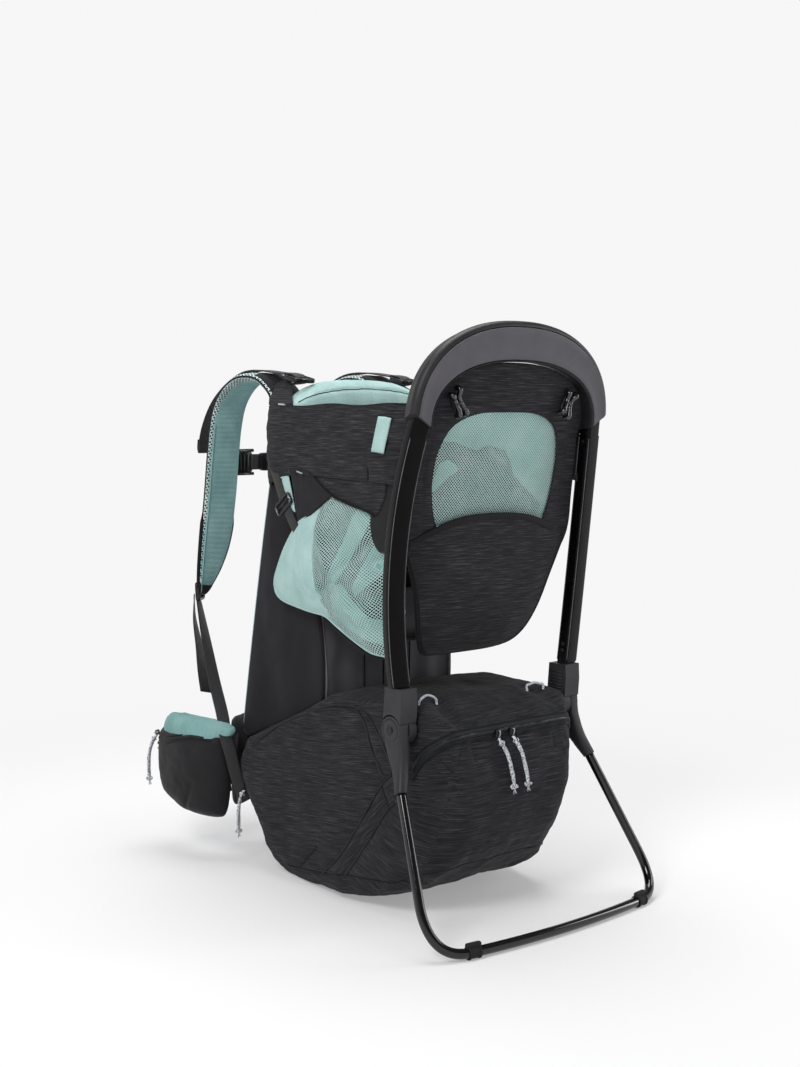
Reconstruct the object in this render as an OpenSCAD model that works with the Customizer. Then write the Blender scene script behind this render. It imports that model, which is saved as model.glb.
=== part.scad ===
// Framed baby carrier backpack with a fold-out stand, standing open on the floor.
// X runs across the carrier, +Y points to the wearer's side, +Z is up, and z = 0 is the floor.
// Depths are first measured from the stand tube's upper ends, then moved by origin_y, so that
// the whole carrier is centred on the origin. Soft parts are plain closed solids.

/* [Frame] */
// Height of the top of the handle
handle_top_z = 800; // [785:1:815]
// Half width of the handle arch
handle_half_w = 178; // [175:1:181]
// Height of the front face of the arch at its middle
handle_band = 54; // [50:1:58]
// Depth of the handle, front to back
handle_depth = 30; // [28:1:32]
// Lean of the handle towards the stand's side, in degrees
handle_lean = 6; // [4:0.5:8]
// Width of a frame bar
bar_w = 26; // [24:1:27]
// Depth of a frame bar
bar_d = 18; // [16:1:19]
// Radius of the bow of a frame bar
bar_bow_r = 855; // [820:5:900]

/* [Stand] */
// Diameter of the stand's tube
tube_d = 13; // [12:1:14]
// Distance from the middle to the pivot housings' outer faces
hub_outer_x = 167; // [166:1:169]
// Width of a pivot housing
hub_w = 28; // [26:1:29]
// Depth of the stand's hinge line
hinge_depth = 32; // [30:1:34]
// Height of the stand's hinge line
hinge_z = 266; // [264:1:268]
// Radius of the round pivot boss
boss_r = 20; // [19:1:21]
// Diameter of the pivot pins
pin_d = 8; // [6:1:9]
// Greatest half width of the stand near the floor
stand_half_w = 209; // [206:1:211]
// Reach of the stand in front of its upper ends
stand_reach = 127; // [124:1:130]

/* [Cockpit] */
// Half width of the cockpit at the frame
cockpit_half_w = 158; // [155:1:160]
// Half width of the cockpit at the wearer's side
cockpit_back_half_w = 140; // [137:1:142]
// Height of the top edge of the side panels
panel_top_z = 689; // [685:1:692]
// Half width of the mesh window
window_half_w = 112; // [106:1:114]

/* [Bag and back] */
// Half width of the storage bag between the pivot housings
bag_half_w = 137; // [134:1:138]
// Height of the bag's top
bag_top_z = 290; // [287:1:292]
// Outer half width of the stretch side walls of the back
gusset_half_w = 121; // [119:1:122]
// Thickness of the upper back pad
back_pad_t = 19; // [15:1:20]

/* [Harness] */
// Width of a shoulder strap
strap_w = 58; // [54:1:60]
// Distance of a shoulder strap's middle from the middle of the back
strap_x = 100; // [98:1:102]
// Thickness of a shoulder strap
strap_t = 15; // [12:1:16]
// Outer radius of the hip belt's curve
belt_r = 204; // [202:1:206]
// Width of the hip belt's webbing
belt_web_w = 38; // [30:1:40]

/* [Hidden] */

// Place of the depth scale's zero in the row's frame
origin_y = -228;
gap = 0.3;
fine = 96;

// --- shared shapes ---------------------------------------------------------

module placed() translate([0, origin_y, 0]) children();

module on_side(side) {
    if (side > 0) children();
    else mirror([1, 0, 0]) children();
}

module both_sides() for (side = [-1, 1]) on_side(side) children();

// Extrudes a [depth, height] outline along X, between two places
module across(x0, x1) translate([x0, 0, 0]) rotate([90, 0, 90]) linear_extrude(x1 - x0) children();

// Extrudes an [x, height] outline along Y, between two places
module along(y0, y1) translate([0, y1, 0]) rotate([90, 0, 0]) linear_extrude(y1 - y0) children();

// A box between two corners
module slab(low, high) translate(low) cube(high - low);

// A round rod between two points
module rod(p, q, d) {
    v = q - p;
    translate(p) rotate([0, acos(v[2] / norm(v)), atan2(v[1], v[0])]) cylinder(h = norm(v), d = d, $fn = 48);
}

module rounded_bar_2d(w, d, r) {
    square([w - 2 * r, d], center = true);
    square([w, d - 2 * r], center = true);
    for (sx = [-1, 1], sy = [-1, 1])
        translate([sx * (w / 2 - r), sy * (d / 2 - r)]) circle(r, $fn = 32);
}

function sign_power(v, p) = sign(v) * pow(abs(v), p);
function reversed(line) = [for (i = [len(line) - 1:-1:0]) line[i]];
function shifted(line, d) = [for (p = line) p + d];
// The part of a line with a constant depth offset, closed with its own copy
function sheet_outline(line, d0, d1) = concat(shifted(line, d0), reversed(shifted(line, d1)));

// Rings of n corners round a route, closed into one polyhedron
module skin(rings, n) {
    last = len(rings) - 1;
    sides = [for (i = [0:last - 1], k = [0:n - 1])
        let (a = i * n + k, b = i * n + (k + 1) % n) [a, b, b + n, a + n]];
    polyhedron([for (r = rings) each r], concat([[for (k = [0:n - 1]) n - 1 - k]], sides,
        [[for (k = [0:n - 1]) last * n + k]]), convexity = 6);
}

function unit(v) = v / norm(v);
function heading(p, i) = unit(p[min(i + 1, len(p) - 1)] - p[max(i - 1, 0)]);

// A round tube along a route, its rings turned from a direction the route never takes
module swept_tube(p, r, n, side_way) skin([for (i = [0:len(p) - 1])
    let (h = heading(p, i), s = unit(cross(h, side_way)), u = cross(s, h))
    [for (k = [0:n - 1]) p[i] + r * (cos(360 * k / n) * s + sin(360 * k / n) * u)]], n);

// A flat strap along a route, its width along X; w holds one width or one for each point
module ribbon(p, w, t) skin([for (i = [0:len(p) - 1])
    let (h = heading(p, i), u = unit(cross(h, [1, 0, 0])) * t / 2, s = [(is_list(w) ? w[i] : w) / 2, 0, 0])
    [p[i] - s - u, p[i] - s + u, p[i] + s + u, p[i] + s - u]], 4);

function bezier(a, b, c, t) = (1 - t) * (1 - t) * a + 2 * t * (1 - t) * b + t * t * c;

// --- handle and frame bars ---------------------------------------------------

handle_end_z = 655;
spring_z = 665;
handle_front_y = -29;
trim_t = 4;
trim_inset = 7;
shell_step = 13;
handle_side_w = 32;
handle_mid_y = handle_front_y + handle_depth / 2;
arch_rise = (handle_top_z - handle_end_z - (trim_t + shell_step - handle_depth / 2) * sin(handle_lean))
    / cos(handle_lean) - (spring_z - handle_end_z);
inner_half_w = handle_half_w - handle_side_w;
inner_rise = arch_rise - handle_band;
arch_power = 2.3;

module leaned() translate([0, handle_mid_y, handle_end_z]) rotate([handle_lean, 0, 0])
    translate([0, -handle_mid_y, -handle_end_z]) children();

// An arch of half width a that rises b above its springing line and stands on low
function arch_points(a, b, low) = concat([[a, low]],
    [for (t = [0:6:180]) [a * sign_power(cos(t), 2 / arch_power),
        spring_z + b * sign_power(sin(t), 2 / arch_power)]],
    [[-a, low]]);

module arch_plate(inset, y0, y1) leaned() along(y0, y1) difference() {
    polygon(arch_points(handle_half_w - inset, arch_rise - inset, handle_end_z));
    polygon(arch_points(inner_half_w, inner_rise, handle_end_z - 1));
}

module handle_shell() color("#3a3a3c") placed() {
    arch_plate(0, handle_front_y + trim_t, handle_front_y + trim_t + shell_step);
    arch_plate(trim_inset, handle_front_y + trim_t + shell_step, handle_front_y + handle_depth);
}

module handle_trim() color("#55535a") placed()
    arch_plate(trim_inset, handle_front_y, handle_front_y + trim_t);

bar_apex = [170, 21.6, 462];
bar_bow_dir = 41;
bar_lean = [5.4, 1.85, 0];
bar_face_turn = 10;
bar_low_z = 322;
bar_sweep = 30;
rivet_d = 5;
rivet_heights = [341, 350, 640];

// Puts an outline at the bar's section, which then runs along the bow
module along_bow(angle) translate(bar_apex) rotate(bar_lean) rotate([0, 0, bar_bow_dir])
    translate([-bar_bow_r, 0, 0]) rotate([90, 0, 0]) rotate([0, 0, -angle / 2])
        rotate_extrude(angle = angle, $fn = fine)
        translate([bar_bow_r, 0]) rotate(bar_bow_dir - bar_face_turn) children();

// Places a rivet across the bar's inner face at a height
module at_rivet(z) {
    u = (z - bar_apex[2]) / 190;
    translate([bar_apex[0] - 16 * u * u + 6 * u, bar_apex[1] - 14 * u * u - 17.5 * u, z])
        rotate([0, -90, bar_face_turn]) children();
}

module frame_bar() color("#101013") placed() difference() {
    along_bow(bar_sweep) rounded_bar_2d(bar_w, bar_d, 4);
    leaned() slab([100, -90, handle_end_z - 0.2], [240, 90, handle_end_z + 80]);
    slab([100, -90, bar_low_z - 120], [240, 90, bar_low_z]);
    for (z = rivet_heights) at_rivet(z) cylinder(h = 30, d = rivet_d + 0.2, $fn = 32);
}
module frame_bar_left() on_side(-1) frame_bar();
module frame_bar_right() on_side(1) frame_bar();

// --- pivot housings, pins and inner frame --------------------------------------

hub_inner_x = hub_outer_x - hub_w;
ear_t = 12;
seam_z = hinge_z + 10;
pin_proud = 1.5;

module pivot_disc(r, x0, x1) across(x0, x1) translate([hinge_depth, hinge_z]) circle(r, $fn = fine);

module hub() color("#3c3b40") placed() difference() {
    union() {
        across(hub_inner_x, hub_outer_x) polygon([[13, seam_z], [48, seam_z], [44, bar_low_z - 0.2],
            [12, bar_low_z - 0.2], [11, 300]]);
        pivot_disc(boss_r, hub_inner_x, hub_inner_x + ear_t);
    }
    pivot_disc(boss_r + gap, hub_inner_x + ear_t, hub_outer_x + 1);
    pivot_disc(pin_d / 2 + 0.05, hub_inner_x - 1, hub_outer_x + 1);
}
module hub_left() on_side(-1) hub();
module hub_right() on_side(1) hub();

module frame_fasteners() color("#8a8c90") placed() both_sides() {
    pivot_disc(pin_d / 2, hub_inner_x - pin_proud, hub_outer_x + pin_proud);
    for (z = rivet_heights) at_rivet(z) translate([0, 0, 8]) cylinder(h = 6.5, d = rivet_d, $fn = 32);
}

inner_tube_d = 12;
inner_x = 118;
stub = [44, 272];
rear_end = [388, 173];
// The tubes run on past their crossings by this much
tube_over = 9;
rail_over = [0, 348, -100] * tube_over / 362;
module inner_frame() color("#6e7074") placed() {
    both_sides() {
        rod([hub_inner_x - 0.1, stub[0], stub[1]], [inner_x - tube_over, stub[0], stub[1]], inner_tube_d);
        rod([inner_x, stub[0], stub[1]] - rail_over, [inner_x, rear_end[0], rear_end[1]] + rail_over,
            inner_tube_d);
    }
    rod([-inner_x - tube_over, rear_end[0], rear_end[1]], [inner_x + tube_over, rear_end[0], rear_end[1]],
        inner_tube_d);
}

// --- stand -----------------------------------------------------------------

sleeve_end = [176, 0, 191];
sleeve_d = 17;
knuckle_low = [[12, seam_z - gap], [9, 240], [4, 222], [26, 214], [44, 236], [50, 262]];
module stand_knuckle() color("#3c3b40") placed() difference() {
    union() {
        pivot_disc(boss_r, hub_inner_x + ear_t + gap, hub_outer_x);
        across(hub_inner_x, hub_outer_x) polygon(knuckle_low);
        hull() {
            across(hub_inner_x + 4, hub_outer_x) polygon([[10, 238], [4, 222], [26, 214], [36, 230]]);
            translate(sleeve_end + [0, 0, 0.2]) cylinder(h = 6, d = sleeve_d, $fn = 32);
        }
    }
    pivot_disc(boss_r + gap, hub_inner_x - 1, hub_inner_x + ear_t + gap);
    pivot_disc(pin_d / 2 + 0.05, hub_inner_x - 1, hub_outer_x + 1);
}
module stand_knuckle_left() on_side(-1) stand_knuckle();
module stand_knuckle_right() on_side(1) stand_knuckle();

foot_d = 17;
bow = 12;
foot_z = foot_d / 2;
bar_end = [165, -stand_reach + bow, foot_z];
corner = [stand_half_w + 3, -102, foot_z];
leg_low = [stand_half_w - 5, -71, 60];
// Share of the leg between its low end and the knuckle's sleeve that the tube fills
leg_share = 0.965;
stand_half = concat(
    [for (t = [0:0.125:0.9]) [bar_end[0] * t, -stand_reach + bow * t * t, foot_z]],
    [for (t = [0:0.1:1]) bezier(bar_end, corner, leg_low, t)],
    [for (t = [0.25:0.25:1]) leg_low + t * leg_share * (sleeve_end - leg_low)]
);
stand_route = concat([for (p = reversed(stand_half)) if (p[0] > 0) [-p[0], p[1], p[2]]], stand_half);
module stand_tube() color("#101013") placed() swept_tube(stand_route, tube_d / 2, 16, [0, 0.9, -0.45]);

foot_x = 156;
foot_turn = 8;
module foot_clips() color("#1c1c1e") placed() both_sides()
    translate([foot_x, -stand_reach + bow * pow(foot_x / bar_end[0], 2), foot_z]) rotate([0, 0, foot_turn])
        difference() {
            union() {
                rotate([0, 90, 0]) cylinder(h = 18, d = foot_d, center = true, $fn = 48);
                slab([-12, -3, 6], [12, 3, 13]);
            }
            rotate([0, 90, 0]) cylinder(h = 30, d = tube_d + 0.5, center = true, $fn = 48);
        }

// --- cockpit ---------------------------------------------------------------

// Depth and height of the rear panel's outer face
rear_face = [[-30, 760], [-22, 735], [-13, 690], [10, 600], [22, 520], [32, 450], [45, 400], [65, 362],
    [92, 346]];
panel_t = [10, 4];
window_mid_z = 597;
window_rise = 84;
window_power = 2.9;
// A rounded top over sides that spread to an arched lower edge
function window_points(grow) = concat([for (t = [0:6:180])
    [(window_half_w + grow) * sign_power(cos(t), 2 / window_power),
        window_mid_z + (window_rise + grow) * sign_power(sin(t), 2 / window_power)]],
    [for (t = [-1:0.25:1]) [t * (window_half_w - 6 + grow), 543 - 14 * t * t - grow]]);

module rear_outline(inset) {
    leaned() along(-60, 140) polygon(arch_points(inner_half_w - inset, inner_rise - inset, handle_end_z - 8));
    along(-60, 140) polygon([[-143, 650], [-148, 560], [-143, 512], [-133, 480], [-122, 430], [-105, 385],
        [-78, 340], [78, 340], [105, 385], [122, 430], [133, 480], [143, 512], [148, 560], [143, 650]]);
}
module rear_panel() color("#37373c") placed() difference() {
    intersection() {
        across(-150, 150) polygon(sheet_outline(rear_face, [0, 0], panel_t));
        rear_outline(0.5);
    }
    along(-60, 140) polygon(window_points(gap));
}
module rear_mesh() color("#9cc7c2") placed() intersection() {
    across(-150, 150) polygon(sheet_outline(rear_face, [3, 1], [6, 2]));
    along(-60, 140) polygon(window_points(0));
}

pocket_face = [[18, 545], [22, 520], [32, 450], [45, 400], [65, 362], [74, 356]];
pocket_half_w = 128;
pocket_top = [for (t = [-1:0.25:1]) [t * pocket_half_w, 541 - 17 * t * t]];
module rear_pocket() color("#333338") placed() intersection() {
    across(-130, 130) polygon(sheet_outline(pocket_face, [-12, -3], [-1, 0]));
    along(-60, 140) polygon(concat([[-114, 445], [-94, 385], [-66, 350], [66, 350], [94, 385], [114, 445]],
        reversed(pocket_top)));
}

module canopy_clips() color("#151517") placed() both_sides()
    translate([101, -22, 691]) rotate([0, -25, 0]) slab([-6, -6, -14], [6, 5, 14]);

wall_t = 12;
panel_low_z = 565;
module side_panel() color("#37373c") placed()
    translate([0, 0, panel_low_z]) linear_extrude(panel_top_z - panel_low_z)
        polygon([[cockpit_half_w, 44], [cockpit_back_half_w, 334], [cockpit_back_half_w - wall_t, 334],
            [cockpit_half_w - wall_t, 44]]);
module side_panel_left() on_side(-1) side_panel();
module side_panel_right() on_side(1) side_panel();

wing_inner_x = 146;
wing_outer_x = 160;
module seat_wing() color("#a8cfca") placed() across(wing_inner_x, wing_outer_x)
    polygon([[86, 557], [183, 560], [263, 528], [318, 430], [308, 405], [212, 396], [161, 368], [112, 362],
        [80, 400]]);
module seat_wing_left() on_side(-1) seat_wing();
module seat_wing_right() on_side(1) seat_wing();

inside_half_w = gusset_half_w - 9;
module seat_back() color("#37373c") placed() across(-inside_half_w, inside_half_w)
    polygon([[318, panel_top_z], [333, panel_top_z], [357, 581], [372, 500], [318, 402], [303, 402],
        [352, 500], [342, 575]]);
module drool_pad() color("#a8cfca") placed() across(-inside_half_w - 8, inside_half_w + 8)
    polygon([[286, 664], [284, 700], [293, 714], [312, 720], [328, 714], [334, panel_top_z + gap],
        [317.7, panel_top_z + gap], [317.7, 664]]);
module seat_base() color("#333338") placed() {
    across(-wing_inner_x, wing_inner_x) polygon([[88, 366], [160, 374], [214, 401], [236, 401], [236, 413],
        [210, 413], [158, 386], [88, 379]]);
    across(-inside_half_w, inside_half_w) polygon([[236, 401], [302, 401], [302, 413], [236, 413]]);
}

child_strap_x = 42;
module child_harness() color("#202023") placed() {
    both_sides() ribbon([[child_strap_x, 316, 655], [child_strap_x, 330, 590], [child_strap_x, 322, 520],
        [child_strap_x - 8, 292, 460], [child_strap_x - 18, 272, 432]], 26, 3);
    slab([-44, 255, 416], [44, 275, 446]);
    both_sides() slab([43, 255.5, 419], [wing_inner_x, 258.5, 443]);
}

// --- storage bag -------------------------------------------------------------

bag_side = [[4, bag_top_z - 1], [-22, 272], [-26, 242], [-38, 205], [-38, 165], [-22, 115], [3, 75], [30, 48],
    [62, 31], [130, 13], [215, 0], [318, 0], [358, 42], [424, 130], [420, 160], [398, 195],
    [189, bag_top_z - 1], [150, bag_top_z], [20, bag_top_z]];
bag_plan_half = [[80, -40], [112, -28], [127, -10], [bag_half_w, 12], [bag_half_w, 60], [bag_half_w + 9, 150],
    [bag_half_w + 13, 300], [bag_half_w + 13, 432]];
bag_front_half = [[129, 0], [bag_half_w + 8, 15], [bag_half_w + 13, 38], [bag_half_w + 13, bag_top_z]];
// The bag's outline seen across its front corners
bag_corner_turn = -46;
bag_corner = [[-460, 0], [8, 0], [49, 39], [73, 111], [94, 172], [95, 225], [90, bag_top_z],
    [-460, bag_top_z]];
bag_middle = [0, 190, 150];
bag_wall_scale = 0.955;

module bag_solid() intersection() {
    across(-160, 160) polygon(bag_side);
    translate([0, 0, -10]) linear_extrude(bag_top_z + 20)
        polygon(concat(bag_plan_half, [for (p = reversed(bag_plan_half)) [-p[0], p[1]]]));
    along(-60, 450) polygon(concat(bag_front_half, [for (p = reversed(bag_front_half)) [-p[0], p[1]]]));
    rotate([0, 0, bag_corner_turn]) along(-400, 600) polygon(bag_corner);
    on_side(-1) rotate([0, 0, bag_corner_turn]) along(-400, 600) polygon(bag_corner);
}
module lower_bag() color("#333338") placed() difference() {
    bag_solid();
    translate(bag_middle) scale(bag_wall_scale) translate(-bag_middle) bag_solid();
    both_sides() rod([100, stub[0], stub[1]], [hub_inner_x + 1, stub[0], stub[1]], inner_tube_d + 1);
}
module bag_board() color("#1e1e20") placed() slab([-112, 210, 8], [112, 305, 11]);

zip_y = -26.4;
zip_z = 255;
slider_l = 14;
module bag_zip() color("#141416") placed() slab([-105, zip_y - 1.6, zip_z - 8], [105, zip_y, zip_z + 8]);
module zip_slider(x) translate([x, zip_y - 2, zip_z]) slab([-5, -5, -slider_l / 2], [5, 0, slider_l / 2]);
slider_left_x = -32;
slider_right_x = -6;
module bag_slider_left() color("#1a1a1c") placed() zip_slider(slider_left_x);
module bag_slider_right() color("#1a1a1c") placed() zip_slider(slider_right_x);

pull_d = 3;
// Route of a pull cord, below a slider at x
function pull_route(x) = [for (p = [[0, -31, 246.8], [1, -35, 242], [3, -39, 235], [6, -42, 226],
    [9, -43, 216], [12, -43, 206], [15, -43, 196], [17, -43, 186], [18, -43, 178]]) p + [x, 0, 0]];
module bag_pull_left() color("#b9bcc0") placed()
    swept_tube(pull_route(slider_left_x), pull_d / 2, 8, [1, 0.2, 0]);
module bag_pull_right() color("#b9bcc0") placed()
    swept_tube(pull_route(slider_right_x), pull_d / 2, 8, [1, 0.2, 0]);

side_pull_route = [[151.7, 398, 112], [152.5, 402, 106], [153, 406, 98], [153, 409, 88], [153, 411, 77],
    [153, 411, 66], [153, 411, 55], [153, 410, 45]];
module side_pulls() color("#b9bcc0") placed() both_sides()
    swept_tube(side_pull_route, pull_d / 2, 8, [1, 0.2, 0]);

module gear_loops() color("#9aa6ad") placed() both_sides()
    translate([102, 35, bag_top_z + gap]) rotate([90, 0, 15]) rotate_extrude(angle = 180, $fn = 64)
        translate([10, 0]) circle(d = 3, $fn = 24);

// --- back -----------------------------------------------------------------

// Depth and height of the wearer's side of the stiff back sheet
back_line = [[338, 700], [364, 581], [403, 398], [442, 190], [449, 80]];
module gusset() color("#2b2b30") placed() across(gusset_half_w - 8, gusset_half_w)
    polygon([[298, 562], [364, 581], [403, 398], [442, 192], [430, 186], [403, 198], [191, bag_top_z + 1.5],
        [247, 396], [276, 440]]);
module gusset_left() on_side(-1) gusset();
module gusset_right() on_side(1) gusset();
module frame_sheet() color("#222226") placed() across(-inside_half_w, inside_half_w)
    polygon(sheet_outline(back_line, [-3.3, 0], [-gap, 0]));
module back_pad() color("#2f2f34") placed() across(-98, 98)
    polygon([[366, 573], [403.3, 398], [431, 250], [431 + back_pad_t, 252], [403 + back_pad_t, 398],
        [372 + back_pad_t, 560], [378, 574]]);
module lumbar_pad() color("#2f2f34") placed() across(-136, 136)
    polygon([[436, 225], [443, 190], [449.5, 80], [468, 84], [470, 150], [462, 222], [450, 232]]);

// --- hip belt ----------------------------------------------------------------

belt_mid_y = 512;
belt_start = 34;
belt_sweep = 58;
pad_t = 16;
pocket_t = 20;
module belt_arc(r0, r1, z0, z1, trim_start, trim_end) translate([0, belt_mid_y, z0])
    rotate([0, 0, -belt_start + trim_start])
        rotate_extrude(angle = belt_sweep - trim_start - trim_end, $fn = fine)
        translate([r0, 0]) square([r1 - r0, z1 - z0]);
module hip_pad() color("#7fa8a5") placed()
    belt_arc(belt_r - pocket_t - gap - pad_t, belt_r - pocket_t - gap, 76, 222, 4.4, 0);
module hip_pad_left() on_side(-1) hip_pad();
module hip_pad_right() on_side(1) hip_pad();
module hip_pocket() color("#232326") placed() belt_arc(belt_r - pocket_t, belt_r, 64, 200, 2, 3);
module hip_pocket_left() on_side(-1) hip_pocket();
module hip_pocket_right() on_side(1) hip_pocket();

hip_slider_z = 180;
hip_slider_angle = 17;
module hip_slider() color("#1a1a1c") placed() translate([0, belt_mid_y, hip_slider_z])
    rotate([0, 0, hip_slider_angle])
    slab([belt_r + 0.4, -6, -4], [belt_r + 5, 6, 4]);
module hip_slider_left() on_side(-1) hip_slider();
module hip_slider_right() on_side(1) hip_slider();
hip_pull_route = [[198, 573, 174.8], [201, 577, 168], [203, 581, 158], [204, 585, 147], [204, 588, 135],
    [203, 590, 123], [202, 591, 111], [201, 591, 99]];
module hip_pull_left() color("#b9bcc0") placed() on_side(-1)
    swept_tube(hip_pull_route, pull_d / 2, 8, [1, 0.2, 0]);
module hip_pull_right() color("#b9bcc0") placed() swept_tube(hip_pull_route, pull_d / 2, 8, [1, 0.2, 0]);

belt_web_y = 572;
belt_web_z = 140;
web_t = 2.4;
buckle_y = belt_web_y + web_t + gap;
module belt_web(x0, x1) slab([x0, belt_web_y, belt_web_z - belt_web_w / 2],
    [x1, belt_web_y + web_t, belt_web_z + belt_web_w / 2]);
module belt_webbing_left() color("#141416") placed() belt_web(-153, -4);
module belt_webbing_right() color("#141416") placed() belt_web(4, 153);
module belt_socket() color("#17171a") placed()
    slab([-36, buckle_y, belt_web_z - 24], [6, buckle_y + 12, belt_web_z + 24]);
module belt_plug() color("#17171a") placed()
    slab([6 + gap, buckle_y + 1, belt_web_z - 22], [34, buckle_y + 11, belt_web_z + 22]);

// --- shoulder harness ----------------------------------------------------------

// Sideways shift, depth and height of the strap's middle line, and its narrowing
strap_line = [[0, 350, 694, 1], [0, 364, 712, 1], [0, 390, 728, 1], [0, 420, 733, 1], [0, 452, 730, 1],
    [0, 482, 715, 1], [0, 505, 690, 1], [0, 518, 655, 1], [0, 526, 610, 1], [2, 532, 550, 0.95],
    [6, 540, 485, 0.8], [13, 548, 440, 0.55], [19, 554, 412, 0.32]];
module shoulder_strap() color("#7fa8a5") placed()
    ribbon([for (p = strap_line) [strap_x + p[0], p[1], p[2]]], [for (p = strap_line) strap_w * p[3]],
        strap_t);
module shoulder_strap_left() on_side(-1) shoulder_strap();
module shoulder_strap_right() on_side(1) shoulder_strap();

module harness_yoke() color("#2b2b30") placed() across(-70, 70)
    polygon([[339, 700], [352.5, 640], [358.5, 640], [345, 700]]);

lifter_route = [[342, 738], [372, 747], [410, 750], [450, 748], [482, 736], [510, 722], [534, 700],
    [550, 676], [560, 650], [566, 624]];
module load_lifters() color("#141416") placed() both_sides()
    ribbon([for (p = lifter_route) [strap_x, p[0], p[1]]], 20, web_t);
module ladder_locks() color("#17171a") placed() both_sides()
    translate([strap_x, 322, 728]) rotate([12, 0, 0]) slab([-15, -16, -5], [15, 14, 6]);

web_route = [[115, 564, 380], [114, 562, 320], [116, 540, 240], [123, 500, 170], [130, 478, 128]];
module strap_webbings() color("#141416") placed() both_sides() ribbon(web_route, 20, web_t);
module strap_buckles() color("#17171a") placed() both_sides()
    translate([strap_x + 16, 560, 394]) slab([-14, -5, -13], [14, 5, 11]);

sternum_y = 537.5;
sternum_z = 602;
sternum_w = 25;
module sternum_web(x0, x1)
    slab([x0, sternum_y, sternum_z - sternum_w / 2], [x1, sternum_y + web_t, sternum_z + sternum_w / 2]);
module sternum_strap() color("#141416") placed() {
    sternum_web(-118, -16);
    slab([-22, sternum_y - 3, sternum_z - 15], [4, sternum_y + 7, sternum_z + 15]);
}
module sternum_webbing() color("#141416") placed() sternum_web(22, 100);
module sternum_plug() color("#17171a") placed()
    slab([4 + gap, sternum_y - 2, sternum_z - 14], [22, sternum_y + 6, sternum_z + 14]);

handle_shell();
handle_trim();
frame_bar_left();
frame_bar_right();
frame_fasteners();
hub_left();
hub_right();
inner_frame();
frame_sheet();
stand_knuckle_left();
stand_knuckle_right();
stand_tube();
foot_clips();
rear_panel();
rear_mesh();
rear_pocket();
canopy_clips();
side_panel_left();
side_panel_right();
seat_wing_left();
seat_wing_right();
seat_back();
drool_pad();
seat_base();
child_harness();
lower_bag();
bag_board();
bag_zip();
gear_loops();
bag_slider_left();
bag_slider_right();
bag_pull_left();
bag_pull_right();
side_pulls();
gusset_left();
gusset_right();
back_pad();
lumbar_pad();
hip_pad_left();
hip_pad_right();
hip_pocket_left();
hip_pocket_right();
hip_slider_left();
hip_slider_right();
hip_pull_left();
hip_pull_right();
belt_webbing_left();
belt_webbing_right();
belt_socket();
belt_plug();
harness_yoke();
shoulder_strap_left();
shoulder_strap_right();
load_lifters();
ladder_locks();
strap_webbings();
strap_buckles();
sternum_strap();
sternum_webbing();
sternum_plug();
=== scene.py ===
import math
import bmesh
import bpy
import numpy as np
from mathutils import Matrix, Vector, noise
from mathutils.bvhtree import BVHTree


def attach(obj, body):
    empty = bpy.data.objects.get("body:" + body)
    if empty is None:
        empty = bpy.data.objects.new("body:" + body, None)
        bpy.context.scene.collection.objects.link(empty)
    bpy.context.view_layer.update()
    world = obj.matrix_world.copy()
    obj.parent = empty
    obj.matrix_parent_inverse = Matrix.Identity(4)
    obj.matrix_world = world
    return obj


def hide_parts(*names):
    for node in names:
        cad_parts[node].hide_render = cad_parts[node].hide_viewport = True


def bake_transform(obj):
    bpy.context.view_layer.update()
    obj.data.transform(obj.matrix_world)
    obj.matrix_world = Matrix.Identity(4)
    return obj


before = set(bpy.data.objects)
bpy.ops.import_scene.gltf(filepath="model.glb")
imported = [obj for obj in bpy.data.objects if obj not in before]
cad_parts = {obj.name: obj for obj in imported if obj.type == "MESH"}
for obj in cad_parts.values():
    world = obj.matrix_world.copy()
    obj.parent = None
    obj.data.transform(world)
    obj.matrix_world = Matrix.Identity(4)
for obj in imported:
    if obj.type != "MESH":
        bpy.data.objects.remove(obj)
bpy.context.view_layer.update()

# Shapes are drawn in millimetres, with depths counted from the stand tube's upper ends, as in the
# part's source; depth_zero moves them into the row's frame.
depth_zero = -0.228
scene = bpy.context.scene


# ---------------------------------------------------------------- materials

def linear(hex_colour):
    parts = [int(hex_colour[i:i + 2], 16) / 255 for i in (1, 3, 5)]
    return tuple(c / 12.92 if c <= 0.04045 else ((c + 0.055) / 1.055) ** 2.4 for c in parts) + (1.0,)


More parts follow.
